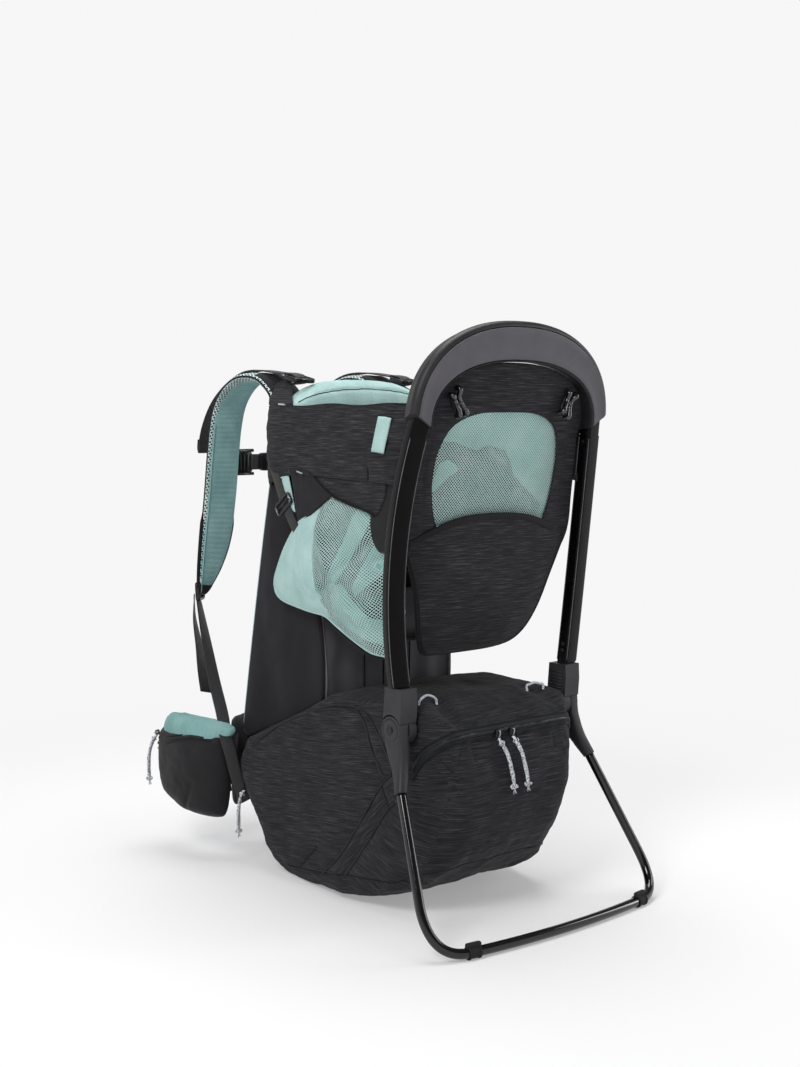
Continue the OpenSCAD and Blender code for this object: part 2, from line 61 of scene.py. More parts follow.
class Shader:
    """A node tree with a Principled shader, built with short calls."""

    def __init__(self, name, roughness, sheen=0.0, coat=0.0, specular=0.5, sheen_tint="#ffffff",
                 metallic=0.0):
        self.material = bpy.data.materials.new(name)
        self.material.use_nodes = True
        self.tree = self.material.node_tree
        self.tree.nodes.clear()
        self.out = self.tree.nodes.new("ShaderNodeOutputMaterial")
        self.main = self.tree.nodes.new("ShaderNodeBsdfPrincipled")
        self.tree.links.new(self.main.outputs[0], self.out.inputs[0])
        self.main.inputs["Roughness"].default_value = roughness
        self.main.inputs["Sheen Weight"].default_value = sheen
        self.main.inputs["Sheen Roughness"].default_value = 0.5
        self.main.inputs["Sheen Tint"].default_value = linear(sheen_tint)
        self.main.inputs["Coat Weight"].default_value = coat
        self.main.inputs["Coat Roughness"].default_value = 0.08
        self.main.inputs["Specular IOR Level"].default_value = specular
        self.main.inputs["Metallic"].default_value = metallic
        self.uv = None

    def add(self, kind, inputs=(), **settings):
        node = self.tree.nodes.new("ShaderNode" + kind)
        for key, value in settings.items():
            setattr(node, key, value)
        for key, value in dict(inputs).items():
            if hasattr(value, "is_linked"):
                self.tree.links.new(value, node.inputs[key])
            else:
                node.inputs[key].default_value = value
        return node

    def link(self, output, name):
        self.tree.links.new(output, self.main.inputs[name])

    def place(self, scale, turn=0.0, use_uv=True):
        """Coordinates in metres times scale, from the cloth's own map or from the object."""
        if use_uv:
            source = self.add("UVMap", uv_map="cloth").outputs[0]
        else:
            source = self.add("TexCoord").outputs["Object"]
        return self.add("Mapping", {"Vector": source, "Scale": scale, "Rotation": (0, 0, turn)}).outputs[0]

    def noise(self, scale, detail=2.0, rough=0.5, use_uv=True, turn=0.0, distortion=0.0):
        return self.add("TexNoise", {"Vector": self.place(scale, turn, use_uv), "Scale": 1.0,
                                     "Detail": detail, "Roughness": rough,
                                     "Distortion": distortion}).outputs["Fac"]

    def ramp(self, value, *stops):
        node = self.add("ValToRGB", {"Fac": value})
        elements = node.color_ramp.elements
        while len(elements) < len(stops):
            elements.new(0.5)
        for element, (at, colour) in zip(elements, stops):
            element.position = at
            element.color = linear(colour) if isinstance(colour, str) else (colour, colour, colour, 1)
        return node.outputs["Color"]

    def math(self, operation, a, b=0.0, c=0.0):
        return self.add("Math", {0: a, 1: b, 2: c}, operation=operation).outputs[0]

    def mix(self, fac, a, b, blend="MIX"):
        node = self.add("Mix", {"Factor": fac}, data_type="RGBA", blend_type=blend)
        for key, value in ((6, a), (7, b)):
            if hasattr(value, "is_linked"):
                self.tree.links.new(value, node.inputs[key])
            else:
                node.inputs[key].default_value = value if not isinstance(value, str) else linear(value)
        return node.outputs[2]

    def bump(self, height, strength, distance):
        node = self.add("Bump", {"Height": height, "Strength": strength, "Distance": distance})
        self.link(node.outputs[0], "Normal")


def heather(name, dark, mid, light):
    s = Shader(name, 0.9, sheen=0.04, specular=0.12)
    long_slub = s.noise((24, 980, 980), 2.5, 0.62)
    short_slub = s.noise((120, 1900, 1900))
    patch = s.noise((9, 14, 14), 1.0)
    base = s.ramp(long_slub, (0.36, dark), (0.52, mid), (0.68, light))
    thread = s.ramp(short_slub, (0.38, 0.8), (0.58, 1.0), (0.76, 1.4))
    colour = s.mix(1.0, base, thread, "MULTIPLY")
    shade = s.ramp(patch, (0.3, 0.86), (0.7, 1.12))
    s.link(s.mix(1.0, colour, shade, "MULTIPLY"), "Base Color")
    weave = s.math("ADD", s.noise((700, 2400, 2400), 1.0), s.math("MULTIPLY", long_slub, 1.6))
    s.bump(weave, 0.35, 0.0006)
    return s.material


def plain_cloth(name, colour, lighter, roughness=0.85, sheen=0.12, grain=1600.0):
    s = Shader(name, roughness, sheen=sheen * 0.5, specular=0.15)
    patch = s.noise((14, 14, 14))
    fine = s.noise((grain, grain, grain), 1.5)
    base = s.ramp(patch, (0.3, colour), (0.75, lighter))
    thread = s.ramp(fine, (0.35, 0.88), (0.65, 1.12))
    s.link(s.mix(1.0, base, thread, "MULTIPLY"), "Base Color")
    s.bump(fine, 0.25, 0.0005)
    return s.material


def brushed(name, dark, light):
    """Brushed knit, with a soft nap."""
    s = Shader(name, 0.92, sheen=0.12, specular=0.12, sheen_tint=light)
    nap = s.noise((260, 900, 900), 3.0, 0.6)
    patch = s.noise((26, 18, 18), 2.0, 0.55)
    base = s.ramp(patch, (0.28, dark), (0.72, light))
    thread = s.ramp(nap, (0.3, 0.86), (0.7, 1.12))
    s.link(s.mix(1.0, base, thread, "MULTIPLY"), "Base Color")
    s.bump(nap, 0.4, 0.0007)
    return s.material


def webbing_cloth(name, colour, lighter):
    s = Shader(name, 0.62, sheen=0.1, specular=0.4)
    place = s.place((1, 1, 1))
    rib = s.add("TexWave", {"Vector": place, "Scale": 210.0, "Distortion": 0.6, "Detail": 1.0,
                            "Detail Scale": 2.0},
                wave_type="BANDS", bands_direction="X").outputs["Fac"]
    fine = s.noise((1800, 1800, 1800), 1.0)
    s.link(s.ramp(s.math("ADD", s.math("MULTIPLY", rib, 0.6), s.math("MULTIPLY", fine, 0.4)),
                  (0.25, colour), (0.85, lighter)), "Base Color")
    s.bump(rib, 0.5, 0.0006)
    return s.material


def net(name, thread, thread_light, pitch, hole, turn=math.radians(45), backing=None):
    """Open mesh: diamond holes in a knitted net; with backing, the holes show that colour."""
    s = Shader(name, 0.7, sheen=0.2, specular=0.3)
    place = s.place((1 / pitch, 1 / pitch, 1), turn)
    split = s.add("SeparateXYZ", {0: place})
    across = s.math("PINGPONG", split.outputs[0], 0.5)
    along = s.math("PINGPONG", split.outputs[1], 0.5)
    inside = s.math("MINIMUM", across, along)
    patch = s.noise((20, 20, 20), 2.0)
    colour = s.ramp(patch, (0.3, thread), (0.7, thread_light))
    open_here = s.math("GREATER_THAN", inside, hole)
    if backing is None:
        s.link(s.math("SUBTRACT", 1.0, open_here), "Alpha")
        s.link(colour, "Base Color")
    else:
        s.link(s.mix(open_here, colour, backing), "Base Color")
    s.bump(s.math("MINIMUM", inside, hole), -0.6, 0.0008)
    return s.material


def plastic(name, colour, lighter, roughness, strength=0.12, coat=0.0, specular=0.3):
    s = Shader(name, roughness, coat=coat, specular=specular)
    patch = s.noise((30, 30, 30), 3.0, 0.6, use_uv=False)
    fine = s.noise((2500, 2500, 2500), 2.0, 0.6, use_uv=False)
    s.link(s.ramp(patch, (0.35, colour), (0.7, lighter)), "Base Color")
    wear = s.ramp(patch, (0.3, max(roughness - 0.05, 0.02)), (0.7, roughness + 0.06))
    s.link(wear, "Roughness")
    s.bump(fine, strength, 0.0003)
    return s.material


def lacquer(name, colour, roughness, coat, specular):
    s = Shader(name, roughness, coat=coat, specular=specular)
    patch = s.noise((45, 45, 45), 3.0, 0.6, use_uv=False)
    s.link(s.ramp(patch, (0.3, colour), (0.75, "#060607")), "Base Color")
    s.link(s.ramp(patch, (0.3, roughness - 0.03), (0.7, roughness + 0.07)), "Roughness")
    peel = s.noise((900, 900, 900), 1.0, 0.5, use_uv=False)
    s.bump(peel, 0.03, 0.0003)
    return s.material


def speckled_cord(name, dark, light):
    s = Shader(name, 0.7, sheen=0.2)
    cells = s.add("TexVoronoi", {"Vector": s.place((900, 900, 900), use_uv=False), "Scale": 1.0})
    s.link(s.ramp(cells.outputs["Color"], (0.3, dark), (0.42, light)), "Base Color")
    s.bump(cells.outputs["Distance"], 0.8, 0.0007)
    return s.material


def metal(name, colour, roughness):
    s = Shader(name, roughness, metallic=1.0)
    brushed_lines = s.noise((300, 300, 2500), 2.0, 0.6, use_uv=False)
    s.link(s.ramp(brushed_lines, (0.3, colour), (0.8, "#b9bcc0")), "Base Color")
    s.bump(brushed_lines, 0.1, 0.0002)
    return s.material


HEATHER = heather("heather", "#1a1a1d", "#27272a", "#454448")
PLAIN = plain_cloth("plain_charcoal", "#19181b", "#1f1e22")
SMOOTH = plain_cloth("smooth_black", "#161618", "#1e1e20", 0.55, 0.05, 2200)
BAND = plain_cloth("zip_band_cloth", "#1e2224", "#262a2c", 0.7, 0.06, 2000)
BINDING = plain_cloth("binding", "#121214", "#19191c", 0.7, 0.05, 2000)
TEAL = brushed("teal_cloth", "#93b1ae", "#a9c4c1")
# A darker copy of the teal cloth: painted shade for linings that lie in shade behind the nets.
SHADED_TEAL = brushed("teal_lining_painted_shade", "#6a9693", "#7fa9a5")
TEAL_PAD = brushed("teal_pad", "#74999a", "#8db0b0")
CURTAIN = plain_cloth("inner_mesh", "#464549", "#535257", 0.8)
HIP_TEAL = brushed("hip_teal", "#6c918f", "#82a5a4")
NET = net("teal_net", "#a3c5c1", "#bfdad6", 0.0031, 0.115)
WINDOW_NET = net("window_net", "#b0d2ce", "#c8e2de", 0.0031, 0.1)
SPACER = net("spacer_mesh", "#8fb5b1", "#d4dfdd", 0.0042, 0.15, math.radians(30), "#101517")
BACK_MESH = net("back_mesh", "#1d1d20", "#26262a", 0.0034, 0.17, math.radians(45), "#0b0b0c")
WEBBING = webbing_cloth("webbing", "#0e0e10", "#1f1f22")
HANDLE = plastic("handle_plastic", "#1b1b1d", "#232326", 0.45)
HANDLE_FACE = plastic("handle_face", "#47464b", "#514f55", 0.55, strength=0.2)
HUB = plastic("hub_plastic", "#252528", "#2e2e31", 0.5, strength=0.2)
GLINT = plastic("hook_black", "#0c0c0e", "#141417", 0.16, strength=0.04, coat=0.6, specular=0.6)
HARD = plastic("hardware_black", "#111113", "#19191c", 0.3, strength=0.05)
RUBBER = plastic("foot_rubber", "#0f0f10", "#18181a", 0.7, strength=0.3)
BOARD = plastic("board_plastic", "#151517", "#1c1c1f", 0.5)
LACQUER = lacquer("black_lacquer", "#030304", 0.24, 0.0, 0.1)
GLOSS = lacquer("gloss_lacquer", "#030304", 0.1, 0.15, 0.5)
# Grey strip material for the bars' edges: painted highlight where light catches the rounded corners.
BAR_EDGE_HIGHLIGHT = plastic("bar_edge_painted_highlight", "#48484b", "#5a5a5d", 0.25, strength=0.02)
STEEL = metal("steel", "#7d7f83", 0.3)
ALLOY = metal("alloy", "#5e6064", 0.4)
CORD = speckled_cord("reflective_cord", "#2a2b2e", "#d3d6da")
LOOP_CORD = speckled_cord("loop_cord", "#7f8b93", "#c9d2d8")
PIPING = plain_cloth("light_piping", "#9a9a9c", "#b5b5b6", 0.5)
GREY_PIPING = plain_cloth("grey_piping", "#59595c", "#6c6c70", 0.6)


# ---------------------------------------------------------------- geometry helpers

def place_points(points):
    moved = np.array(points, float).reshape(-1, 3) * 0.001
    moved[:, 1] += depth_zero
    return moved


def at(x, d, z):
    return (x * 0.001, d * 0.001 + depth_zero, z * 0.001)


def power(v, p):
    return np.sign(v) * np.abs(v) ** p


def spline(points, count, closed=False):
    """A smooth curve through points, resampled to count places at equal spacing."""
    p = np.array(points, float)
    if closed:
        ext = np.vstack([p[-1], p, p[0], p[1]])
    else:
        ext = np.vstack([2 * p[0] - p[1], p, 2 * p[-1] - p[-2]])
    fine = []
    steps = 16
    for i in range(1, len(ext) - 2):
        a, b, c, d = ext[i - 1], ext[i], ext[i + 1], ext[i + 2]
        for k in range(steps):
            t = k / steps
            fine.append(0.5 * (2 * b + (c - a) * t + (2 * a - 5 * b + 4 * c - d) * t * t
                               + (3 * b - a - 3 * c + d) * t ** 3))
    fine.append(ext[-2] if not closed else ext[1])
    return resample(fine, count, closed)


def resample(points, count, closed=False):
    p = np.array(points, float)
    run = np.concatenate([[0], np.cumsum(np.linalg.norm(np.diff(p, axis=0), axis=1))])
    want = np.linspace(0, run[-1], count + 1)[:-1] if closed else np.linspace(0, run[-1], count)
    return np.stack([np.interp(want, run, p[:, k]) for k in range(p.shape[1])], 1)


def length_of(path):
    return float(np.linalg.norm(np.diff(np.array(path, float), axis=0), axis=1).sum())


def unit(v):
    v = np.asarray(v, float)
    n = np.linalg.norm(v, axis=-1, keepdims=True)
    return v / np.where(n < 1e-12, 1, n)


def make(name, verts, faces, material, body, replaces=(), uv=None):
    """A piece from places in millimetres, with its cloth map, body and the nodes it stands for."""
    mesh = bpy.data.meshes.new(name)
    mesh.from_pydata(place_points(verts).tolist(), [], [tuple(int(i) for i in f) for f in faces])
    materials = material if isinstance(material, (list, tuple)) else [material]
    for m in materials:
        mesh.materials.append(m)
    if uv is not None:
        layer = mesh.uv_layers.new(name="cloth")
        spots = np.array(uv, float)
        index = np.empty(len(mesh.loops), int)
        mesh.loops.foreach_get("vertex_index", index)
        layer.data.foreach_set("uv", (spots[index] * 0.001).ravel())
    bm = bmesh.new()
    bm.from_mesh(mesh)
    bmesh.ops.recalc_face_normals(bm, faces=bm.faces)
    bm.to_mesh(mesh)
    bm.free()
    mesh.polygons.foreach_set("use_smooth", [True] * len(mesh.polygons))
    mesh.update()
    obj = bpy.data.objects.new(name, mesh)
    scene.collection.objects.link(obj)
    if body is not None:
        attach(obj, body)
    if replaces:
        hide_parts(*replaces)
    return obj


def tangents(path, closed=False):
    p = np.array(path, float)
    if closed:
        return unit(np.roll(p, -1, 0) - np.roll(p, 1, 0))
    t = np.gradient(p, axis=0)
    return unit(t)


def sweep(path, profile, up=(0, 0, 1), closed=False, scale=None):
    """Vertices, faces and cloth map of a profile carried along a path; up is one way or one a point."""
    p = np.array(path, float)
    prof = np.array(profile, float)
    t = tangents(p, closed)
    ups = np.broadcast_to(np.array(up, float), p.shape)
    side = unit(np.cross(t, ups))
    high = np.cross(side, t)
    n, k = len(p), len(prof)
    sizes = np.ones((n, 2)) if scale is None else np.array(scale, float).reshape(n, -1) * np.ones((1, 2))
    verts = (p[:, None] + side[:, None] * (prof[None, :, 0, None] * sizes[:, None, 0:1])
             + high[:, None] * (prof[None, :, 1, None] * sizes[:, None, 1:2])).reshape(-1, 3)
    run = np.concatenate([[0], np.cumsum(np.linalg.norm(np.diff(p, axis=0), axis=1))])
    around = np.concatenate([[0], np.cumsum(np.linalg.norm(np.diff(prof, axis=0), axis=1))])
    uv = np.stack(np.meshgrid(run, around, indexing="ij"), -1).reshape(-1, 2)
    faces = []
    for i in range(n if closed else n - 1):
        j = (i + 1) % n
        for q in range(k):
            r = (q + 1) % k
            faces.append((i * k + q, i * k + r, j * k + r, j * k + q))
    if not closed:
        faces.append(tuple(range(k)))
        faces.append(tuple((n - 1) * k + q for q in range(k)))
    return verts, faces, uv


def joined(n, k):
    """Faces that join n outlines of k places each, closed at both ends."""
    faces = [(i * k + q, i * k + (q + 1) % k, (i + 1) * k + (q + 1) % k, (i + 1) * k + q)
             for i in range(n - 1) for q in range(k)]
    return faces + [tuple(range(k)), tuple((n - 1) * k + q for q in range(k))]


def ring(radius, count):
    a = np.arange(count) * 2 * np.pi / count
    return np.stack([np.cos(a), np.sin(a)], 1) * radius


def rounded(w, h, r, per=4):
    """A rounded rectangle's outline."""
    out = []
    for cx, cy, start in ((w / 2 - r, h / 2 - r, 0), (-w / 2 + r, h / 2 - r, 90),
                          (-w / 2 + r, -h / 2 + r, 180), (w / 2 - r, -h / 2 + r, 270)):
        for k in range(per + 1):
            a = math.radians(start + 90 * k / per)
            out.append((cx + r * math.cos(a), cy + r * math.sin(a)))
    return out


def tube(name, path, radius, material, body, replaces=(), sides=14, closed=False, up=(0.3, 0.2, 1),
         scale=None):
    v, f, uv = sweep(path, ring(radius, sides), up, closed, scale)
    return make(name, v, f, material, body, replaces, uv)


def strap(name, path, width, thick, material, body, across, replaces=()):
    """A flat webbing along a path, its width along one across direction, or along one for each place."""
    p = np.array(path, float)
    t = tangents(p)
    up = unit(np.cross(np.broadcast_to(np.array(across, float), p.shape), t))
    v, f, uv = sweep(p, rounded(width, thick, thick * 0.45, 3), up)
    return make(name, v, f, material, body, replaces, uv)


def normals_of(grid, wrap=False):
    du = np.gradient(grid, axis=0)
    dv = np.roll(grid, -1, 1) - np.roll(grid, 1, 1) if wrap else np.gradient(grid, axis=1)
    return unit(np.cross(du, dv))


def value_noise(points, scale, seed=0.0, octaves=3):
    out = np.empty(len(points))
    for i, p in enumerate(np.asarray(points, float)):
        out[i] = noise.fractal(Vector((p[0] * scale[0] + seed, p[1] * scale[1] - seed * 0.7,
                                       p[2] * scale[2] + 0.3 * seed)),
                               0.6, 2.0, octaves, noise_basis="PERLIN_ORIGINAL")
    return out


def grid_uv(grid):
    du = np.linalg.norm(np.diff(grid, axis=0), axis=2)
    dv = np.linalg.norm(np.diff(grid, axis=1), axis=2)
    u = np.concatenate([np.zeros((1, grid.shape[1])), np.cumsum(du, 0)])
    v = np.concatenate([np.zeros((grid.shape[0], 1)), np.cumsum(dv, 1)], axis=1)
    middle_u = u[:, grid.shape[1] // 2][:, None] * np.ones((1, grid.shape[1]))
    return np.stack([v, middle_u], -1)


def cloth_grid(name, grid, thick, material, body, replaces=(), uv=None, swap_uv=False, wrap=False):
    """A cloth surface given as a grid of points, with a thickness; wrap joins the second direction's ends."""
    grid = np.array(grid, float)
    m, n = grid.shape[:2]
    normal = normals_of(grid, wrap)
    t = np.broadcast_to(np.asarray(thick, float), (m, n))
    back = grid - normal * t[..., None]
    spots = grid_uv(grid) if uv is None else np.array(uv, float)
    if swap_uv:
        spots = spots[..., ::-1]
    verts = np.concatenate([grid.reshape(-1, 3), back.reshape(-1, 3)])
    maps = np.concatenate([spots.reshape(-1, 2), spots.reshape(-1, 2)])
    faces = []
    size = m * n
    cols = n if wrap else n - 1
    for i in range(m - 1):
        for j in range(cols):
            k = (j + 1) % n
            a, b, c, d = i * n + j, (i + 1) * n + j, (i + 1) * n + k, i * n + k
            faces.append((a, b, c, d))
            faces.append((size + d, size + c, size + b, size + a))
    for i in range(m - 1):
        if not wrap:
            a, b = i * n, (i + 1) * n
            faces.append((a, size + a, size + b, b))
            a, b = i * n + n - 1, (i + 1) * n + n - 1
            faces.append((b, size + b, size + a, a))
    for j in range(cols):
        k = (j + 1) % n
        if not wrap:
            faces.append((k, size + k, size + j, j))
        a, b = (m - 1) * n + j, (m - 1) * n + k
        faces.append((a, size + a, size + b, b))
    if wrap:
        faces.append(tuple(range(n)))
        faces.append(tuple(size + j for j in reversed(range(n))))
    return make(name, verts, faces, material, body, replaces, maps)


def around(outline, centre, rings, count):
    """Places filling a flat outline as rings round a centre, with each ring's share of the way out."""
    edge = resample(np.vstack([outline, outline[:1]]), count, True)
    share = np.linspace(0, 1, rings + 1) ** 0.8
    share[0] = 0.01
    places = np.array(centre, float) + (edge - np.array(centre, float))[None] * share[:, None, None]
    return places[..., 0], places[..., 1], share[:, None] * np.ones((1, count))


def folded(grid, amount, scale, seed, r):
    """How far a soft sheet rises at each place, from noise that fades at its sewn edge."""
    height = value_noise(grid.reshape(-1, 3), scale, seed).reshape(grid.shape[:2]) * amount
    return height * np.clip(1 - r ** 5, 0, 1)


def patch(name, outline, centre, surface, thick, material, body, slot, replaces=(), rings=16, count=120,
          turn=0.0, amount=0.0, scale=(0.02, 0.02, 0.02), seed=1.0):
    """A sheet of cloth sewn in along an outline; surface turns flat places into places in space."""
    a, b, r = around(outline, centre, rings, count)
    grid = np.stack(np.broadcast_arrays(*surface(a, b, r)), -1).astype(float)
    if amount:
        grid = grid + normals_of(grid, True) * folded(grid, amount, scale, seed, r)[..., None]
    c, s = math.cos(turn), math.sin(turn)
    spots = np.stack([a * c - b * s, a * s + b * c], -1)
    return cloth_grid(name, grid, thick, material, body, replaces, spots, wrap=True)


def cushion(name, outline, centre, surface, material, body, replaces=(), rings=14, count=96):
    """A closed pad; surface(a, b, lift) gives a place, with lift from -1 at its back to 1 at its front."""
    a, b, r = around(outline, centre, rings, count)
    lift = np.sqrt(np.clip(1 - r ** 5, 0, 1))
    front = np.stack(np.broadcast_arrays(*surface(a, b, lift)), -1).reshape(-1, 3)
    back = np.stack(np.broadcast_arrays(*surface(a, b, -lift)), -1).reshape(-1, 3)
    m, n = a.shape
    size = m * n
    verts = np.concatenate([front, back])
    spots = np.stack([a, b], -1).reshape(-1, 2)
    faces = []
    for i in range(m - 1):
        for j in range(n):
            k = (j + 1) % n
            inner, inner_next, outer, outer_next = i * n + j, i * n + k, (i + 1) * n + j, (i + 1) * n + k
            faces.append((inner, outer, outer_next, inner_next))
            if i == m - 2:
                faces.append((size + inner_next, outer_next, outer, size + inner))
            else:
                faces.append((size + inner_next, size + outer_next, size + outer, size + inner))
    faces.append(tuple(range(n)))
    faces.append(tuple(size + j for j in reversed(range(n))))
    obj = make(name, verts[:size + (m - 1) * n], faces, material, body, replaces,
               np.concatenate([spots, spots])[:size + (m - 1) * n])
    return obj


def rim_of(outline, surface, count=140):
    """An outline carried onto a surface, as a closed path."""
    edge = resample(np.vstack([outline, outline[:1]]), count, True)
    return np.stack(np.broadcast_arrays(*surface(edge[:, 0], edge[:, 1], np.ones(len(edge)))),
                    -1).astype(float)


def mirrored(points):
    return [(-p[0],) + tuple(p[1:]) for p in points]


def both(outline_half):
    """A left-right even outline from its right half, listed from the bottom's middle to the top's."""
    half = [tuple(p) for p in outline_half]
    return np.array(half + [(-x, z) for x, z in reversed(half) if x > 0.01])


def surface_tree(obj):
    return BVHTree.FromPolygons([v.co for v in obj.data.vertices], [p.vertices[:] for p in obj.data.polygons])


def vectors(items, key):
    """One vector for each of a mesh's items."""
    flat = np.empty(len(items) * 3)
    items.foreach_get(key, flat)
    return flat.reshape(-1, 3)


def in_mm(places):
    """Places in metres turned into the part's millimetres and depths."""
    moved = places * 1000
    moved[:, 1] -= depth_zero * 1000
    return moved


def press(obj, lines, depth, radius):
    """Draws a soft piece in along lines, as a row of stitches does."""
    mesh = obj.data
    co, no = vectors(mesh.vertices, "co"), vectors(mesh.vertices, "normal")
    near = np.full(len(co), 1e9)
    for line in lines:
        for spot in place_points(resample(line, max(int(length_of(line) / 2.0), 4))):
            near = np.minimum(near, ((co - spot) ** 2).sum(1))
    pull = depth * 0.001 * np.exp(-near / (radius * 0.001) ** 2)
    mesh.vertices.foreach_set("co", (co - no * pull[:, None]).ravel())
    mesh.update()


sim_frames = 20


def inflate(obj, voxel_mm, pressure=4.0, cap_mm=8.0, hold=None):
    """Blows a closed soft piece up as cloth, no further than a cap from where it was drawn."""
    remesh = obj.modifiers.new("remesh", "REMESH")
    remesh.mode = "VOXEL"
    remesh.voxel_size = voxel_mm * 0.001
    remesh.use_smooth_shade = True
    bake(obj)
    before = vectors(obj.data.vertices, "co")
    cloth = obj.modifiers.new("cloth", "CLOTH")
    settings = cloth.settings
    settings.quality = 6
    settings.mass = 0.2
    settings.tension_stiffness = 12
    settings.compression_stiffness = 12
    settings.shear_stiffness = 5
    settings.bending_stiffness = 0.4
    settings.use_pressure = True
    settings.uniform_pressure_force = pressure
    settings.effector_weights.gravity = 0
    cloth.collision_settings.use_collision = False
    if hold is not None:
        group = obj.vertex_groups.new(name="held")
        points = np.array([v.co for v in obj.data.vertices])
        weights = hold(points)
        for i in np.nonzero(weights > 0.01)[0]:
            group.add([int(i)], float(weights[i]), "REPLACE")
        settings.vertex_group_mass = "held"
    cloth.point_cache.frame_start = 1
    cloth.point_cache.frame_end = sim_frames
    for frame_number in range(1, sim_frames + 1):
        scene.frame_set(frame_number)
        bpy.context.view_layer.update()
    bake(obj)
    scene.frame_set(1)
    move = vectors(obj.data.vertices, "co") - before
    far = np.linalg.norm(move, axis=1, keepdims=True)
    move = move * np.minimum(1, cap_mm * 0.001 / np.maximum(far, 1e-9))
    obj.data.vertices.foreach_set("co", (before + move).ravel())
    smooth = obj.modifiers.new("smooth", "SUBSURF")
    smooth.levels = smooth.render_levels = 1
    bake(obj)
    obj.data.update()


def bake(obj):
    """Turns a piece's modifiers into its mesh."""
    graph = bpy.context.evaluated_depsgraph_get()
    mesh = bpy.data.meshes.new_from_object(obj.evaluated_get(graph), depsgraph=graph)
    obj.modifiers.clear()
    old = obj.data
    obj.data = mesh
    bpy.data.meshes.remove(old)
    mesh.polygons.foreach_set("use_smooth", [True] * len(mesh.polygons))


def map_cloth(obj, rule):
    """Gives each corner its place on the cloth from its face's way and its own place, in millimetres."""
    mesh = obj.data
    layer = mesh.uv_layers.get("cloth") or mesh.uv_layers.new(name="cloth")
    co = in_mm(vectors(mesh.vertices, "co"))
    index = np.empty(len(mesh.loops), int)
    mesh.loops.foreach_get("vertex_index", index)
    face_of = np.empty(len(mesh.loops), int)
    for polygon in mesh.polygons:
        face_of[polygon.loop_start:polygon.loop_start + polygon.loop_total] = polygon.index
    no, mid = vectors(mesh.polygons, "normal"), in_mm(vectors(mesh.polygons, "center"))
    uv = rule(co[index], no[face_of], mid[face_of])
    layer.data.foreach_set("uv", (uv * 0.001).ravel())


def box_map(p, normal, middle):
    """Cloth laid flat on each piece from the side, the top or the front."""
    size = np.abs(normal)
    side = (size[:, 0] >= size[:, 1]) & (size[:, 0] >= size[:, 2])
    top = (size[:, 2] > size[:, 0]) & (size[:, 2] > size[:, 1])
    u = np.where(side, p[:, 1], p[:, 0])
    v = np.where(top, p[:, 1], p[:, 2])
    return np.stack([u, v], 1)


def laid_on(bvh, path, lift):
    """The places on a surface nearest a path, raised by lift millimetres, and the outward ways there."""
    laid, ways = [], []
    for p in place_points(path):
        spot, normal, _, _ = bvh.find_nearest(Vector(p))
        laid.append(np.array(spot) * 1000 - np.array([0, depth_zero * 1000, 0]) + np.array(normal) * lift)
        ways.append(np.array(normal))
    return np.array(laid), np.array(ways)


def seam_line(bvh, points, count=60, lift=0.3):
    """A smooth line through points, laid on a surface; gives places in millimetres and outward ways."""
    return laid_on(bvh, spline(points, count), lift)


# ---------------------------------------------------------------- camera, light and floor

camera_data = bpy.data.cameras.new("camera")
camera_data.sensor_fit = "VERTICAL"
camera_data.sensor_height = 36
camera_data.lens = 50
camera = bpy.data.objects.new("camera", camera_data)
camera.location = (-1.3806, -1.6669, 0.6722)
camera.rotation_euler = (math.radians(85.543), 0, math.radians(-39.896))
scene.collection.objects.link(camera)
scene.camera = camera

world = bpy.data.worlds.new("studio")
world.use_nodes = True
sky = world.node_tree
sky_place = sky.nodes.new("ShaderNodeTexCoord")
sky_split = sky.nodes.new("ShaderNodeSeparateXYZ")
sky_ramp = sky.nodes.new("ShaderNodeValToRGB")
sky.links.new(sky_place.outputs["Generated"], sky_split.inputs[0])
sky.links.new(sky_split.outputs[2], sky_ramp.inputs[0])
sky.links.new(sky_ramp.outputs[0], sky.nodes["Background"].inputs[0])
sky_ramp.color_ramp.elements[0].position = 0.33
sky_ramp.color_ramp.elements[0].color = (0.93, 0.927, 0.932, 1)
sky_ramp.color_ramp.elements[1].position = 0.52
sky_ramp.color_ramp.elements[1].color = (0.16, 0.16, 0.17, 1)
scene.world = world
scene.view_settings.view_transform = "Standard"
scene.view_settings.look = "None"


def softbox(name, place, target, size, watts):
    data = bpy.data.lights.new(name, "AREA")
    data.shape = "RECTANGLE"
    data.size, data.size_y = size
    data.energy = watts
    obj = bpy.data.objects.new(name, data)
    obj.location = place
    obj.rotation_euler = (Vector(target) - Vector(place)).to_track_quat("-Z", "Y").to_euler()
    scene.collection.objects.link(obj)


softbox("key", (-2.2, -0.9, 2.4), (0, 0, 0.4), (1.1, 1.1), 50)
softbox("top", (0.3, 0.3, 2.9), (0, 0, 0.3), (1.8, 1.8), 62)
softbox("strip", (2.2, -1.4, 1.1), (0, 0, 0.4), (0.4, 1.8), 16)

floor_mesh = bpy.data.meshes.new("floor")
floor_mesh.from_pydata([(-9, -6, 0), (9, -6, 0), (9, 12, 0), (-9, 12, 0)], [], [(0, 1, 2, 3)])
floor = bpy.data.objects.new("floor", floor_mesh)
floor_paint = Shader("floor_paint", 0.9, specular=0.0)
floor_paint.main.inputs["Base Color"].default_value = (0.84, 0.838, 0.842, 1)
glow = floor_paint.add("Emission", {"Color": (0.93, 0.927, 0.932, 1), "Strength": 1.0})
where = floor_paint.add("TexCoord").outputs["Object"]
away = floor_paint.add("VectorMath", {0: where}, operation="LENGTH").outputs["Value"]
fade_out = floor_paint.add("MapRange",
                           {"Value": away, "From Min": 0.55, "From Max": 1.5, "To Min": 0.3, "To Max": 1.0},
                           interpolation_type="SMOOTHSTEP").outputs[0]
blend_in = floor_paint.add("MixShader", {0: fade_out, 1: floor_paint.main.outputs[0], 2: glow.outputs[0]})
floor_paint.tree.links.new(blend_in.outputs[0], floor_paint.out.inputs[0])
floor_mesh.materials.append(floor_paint.material)
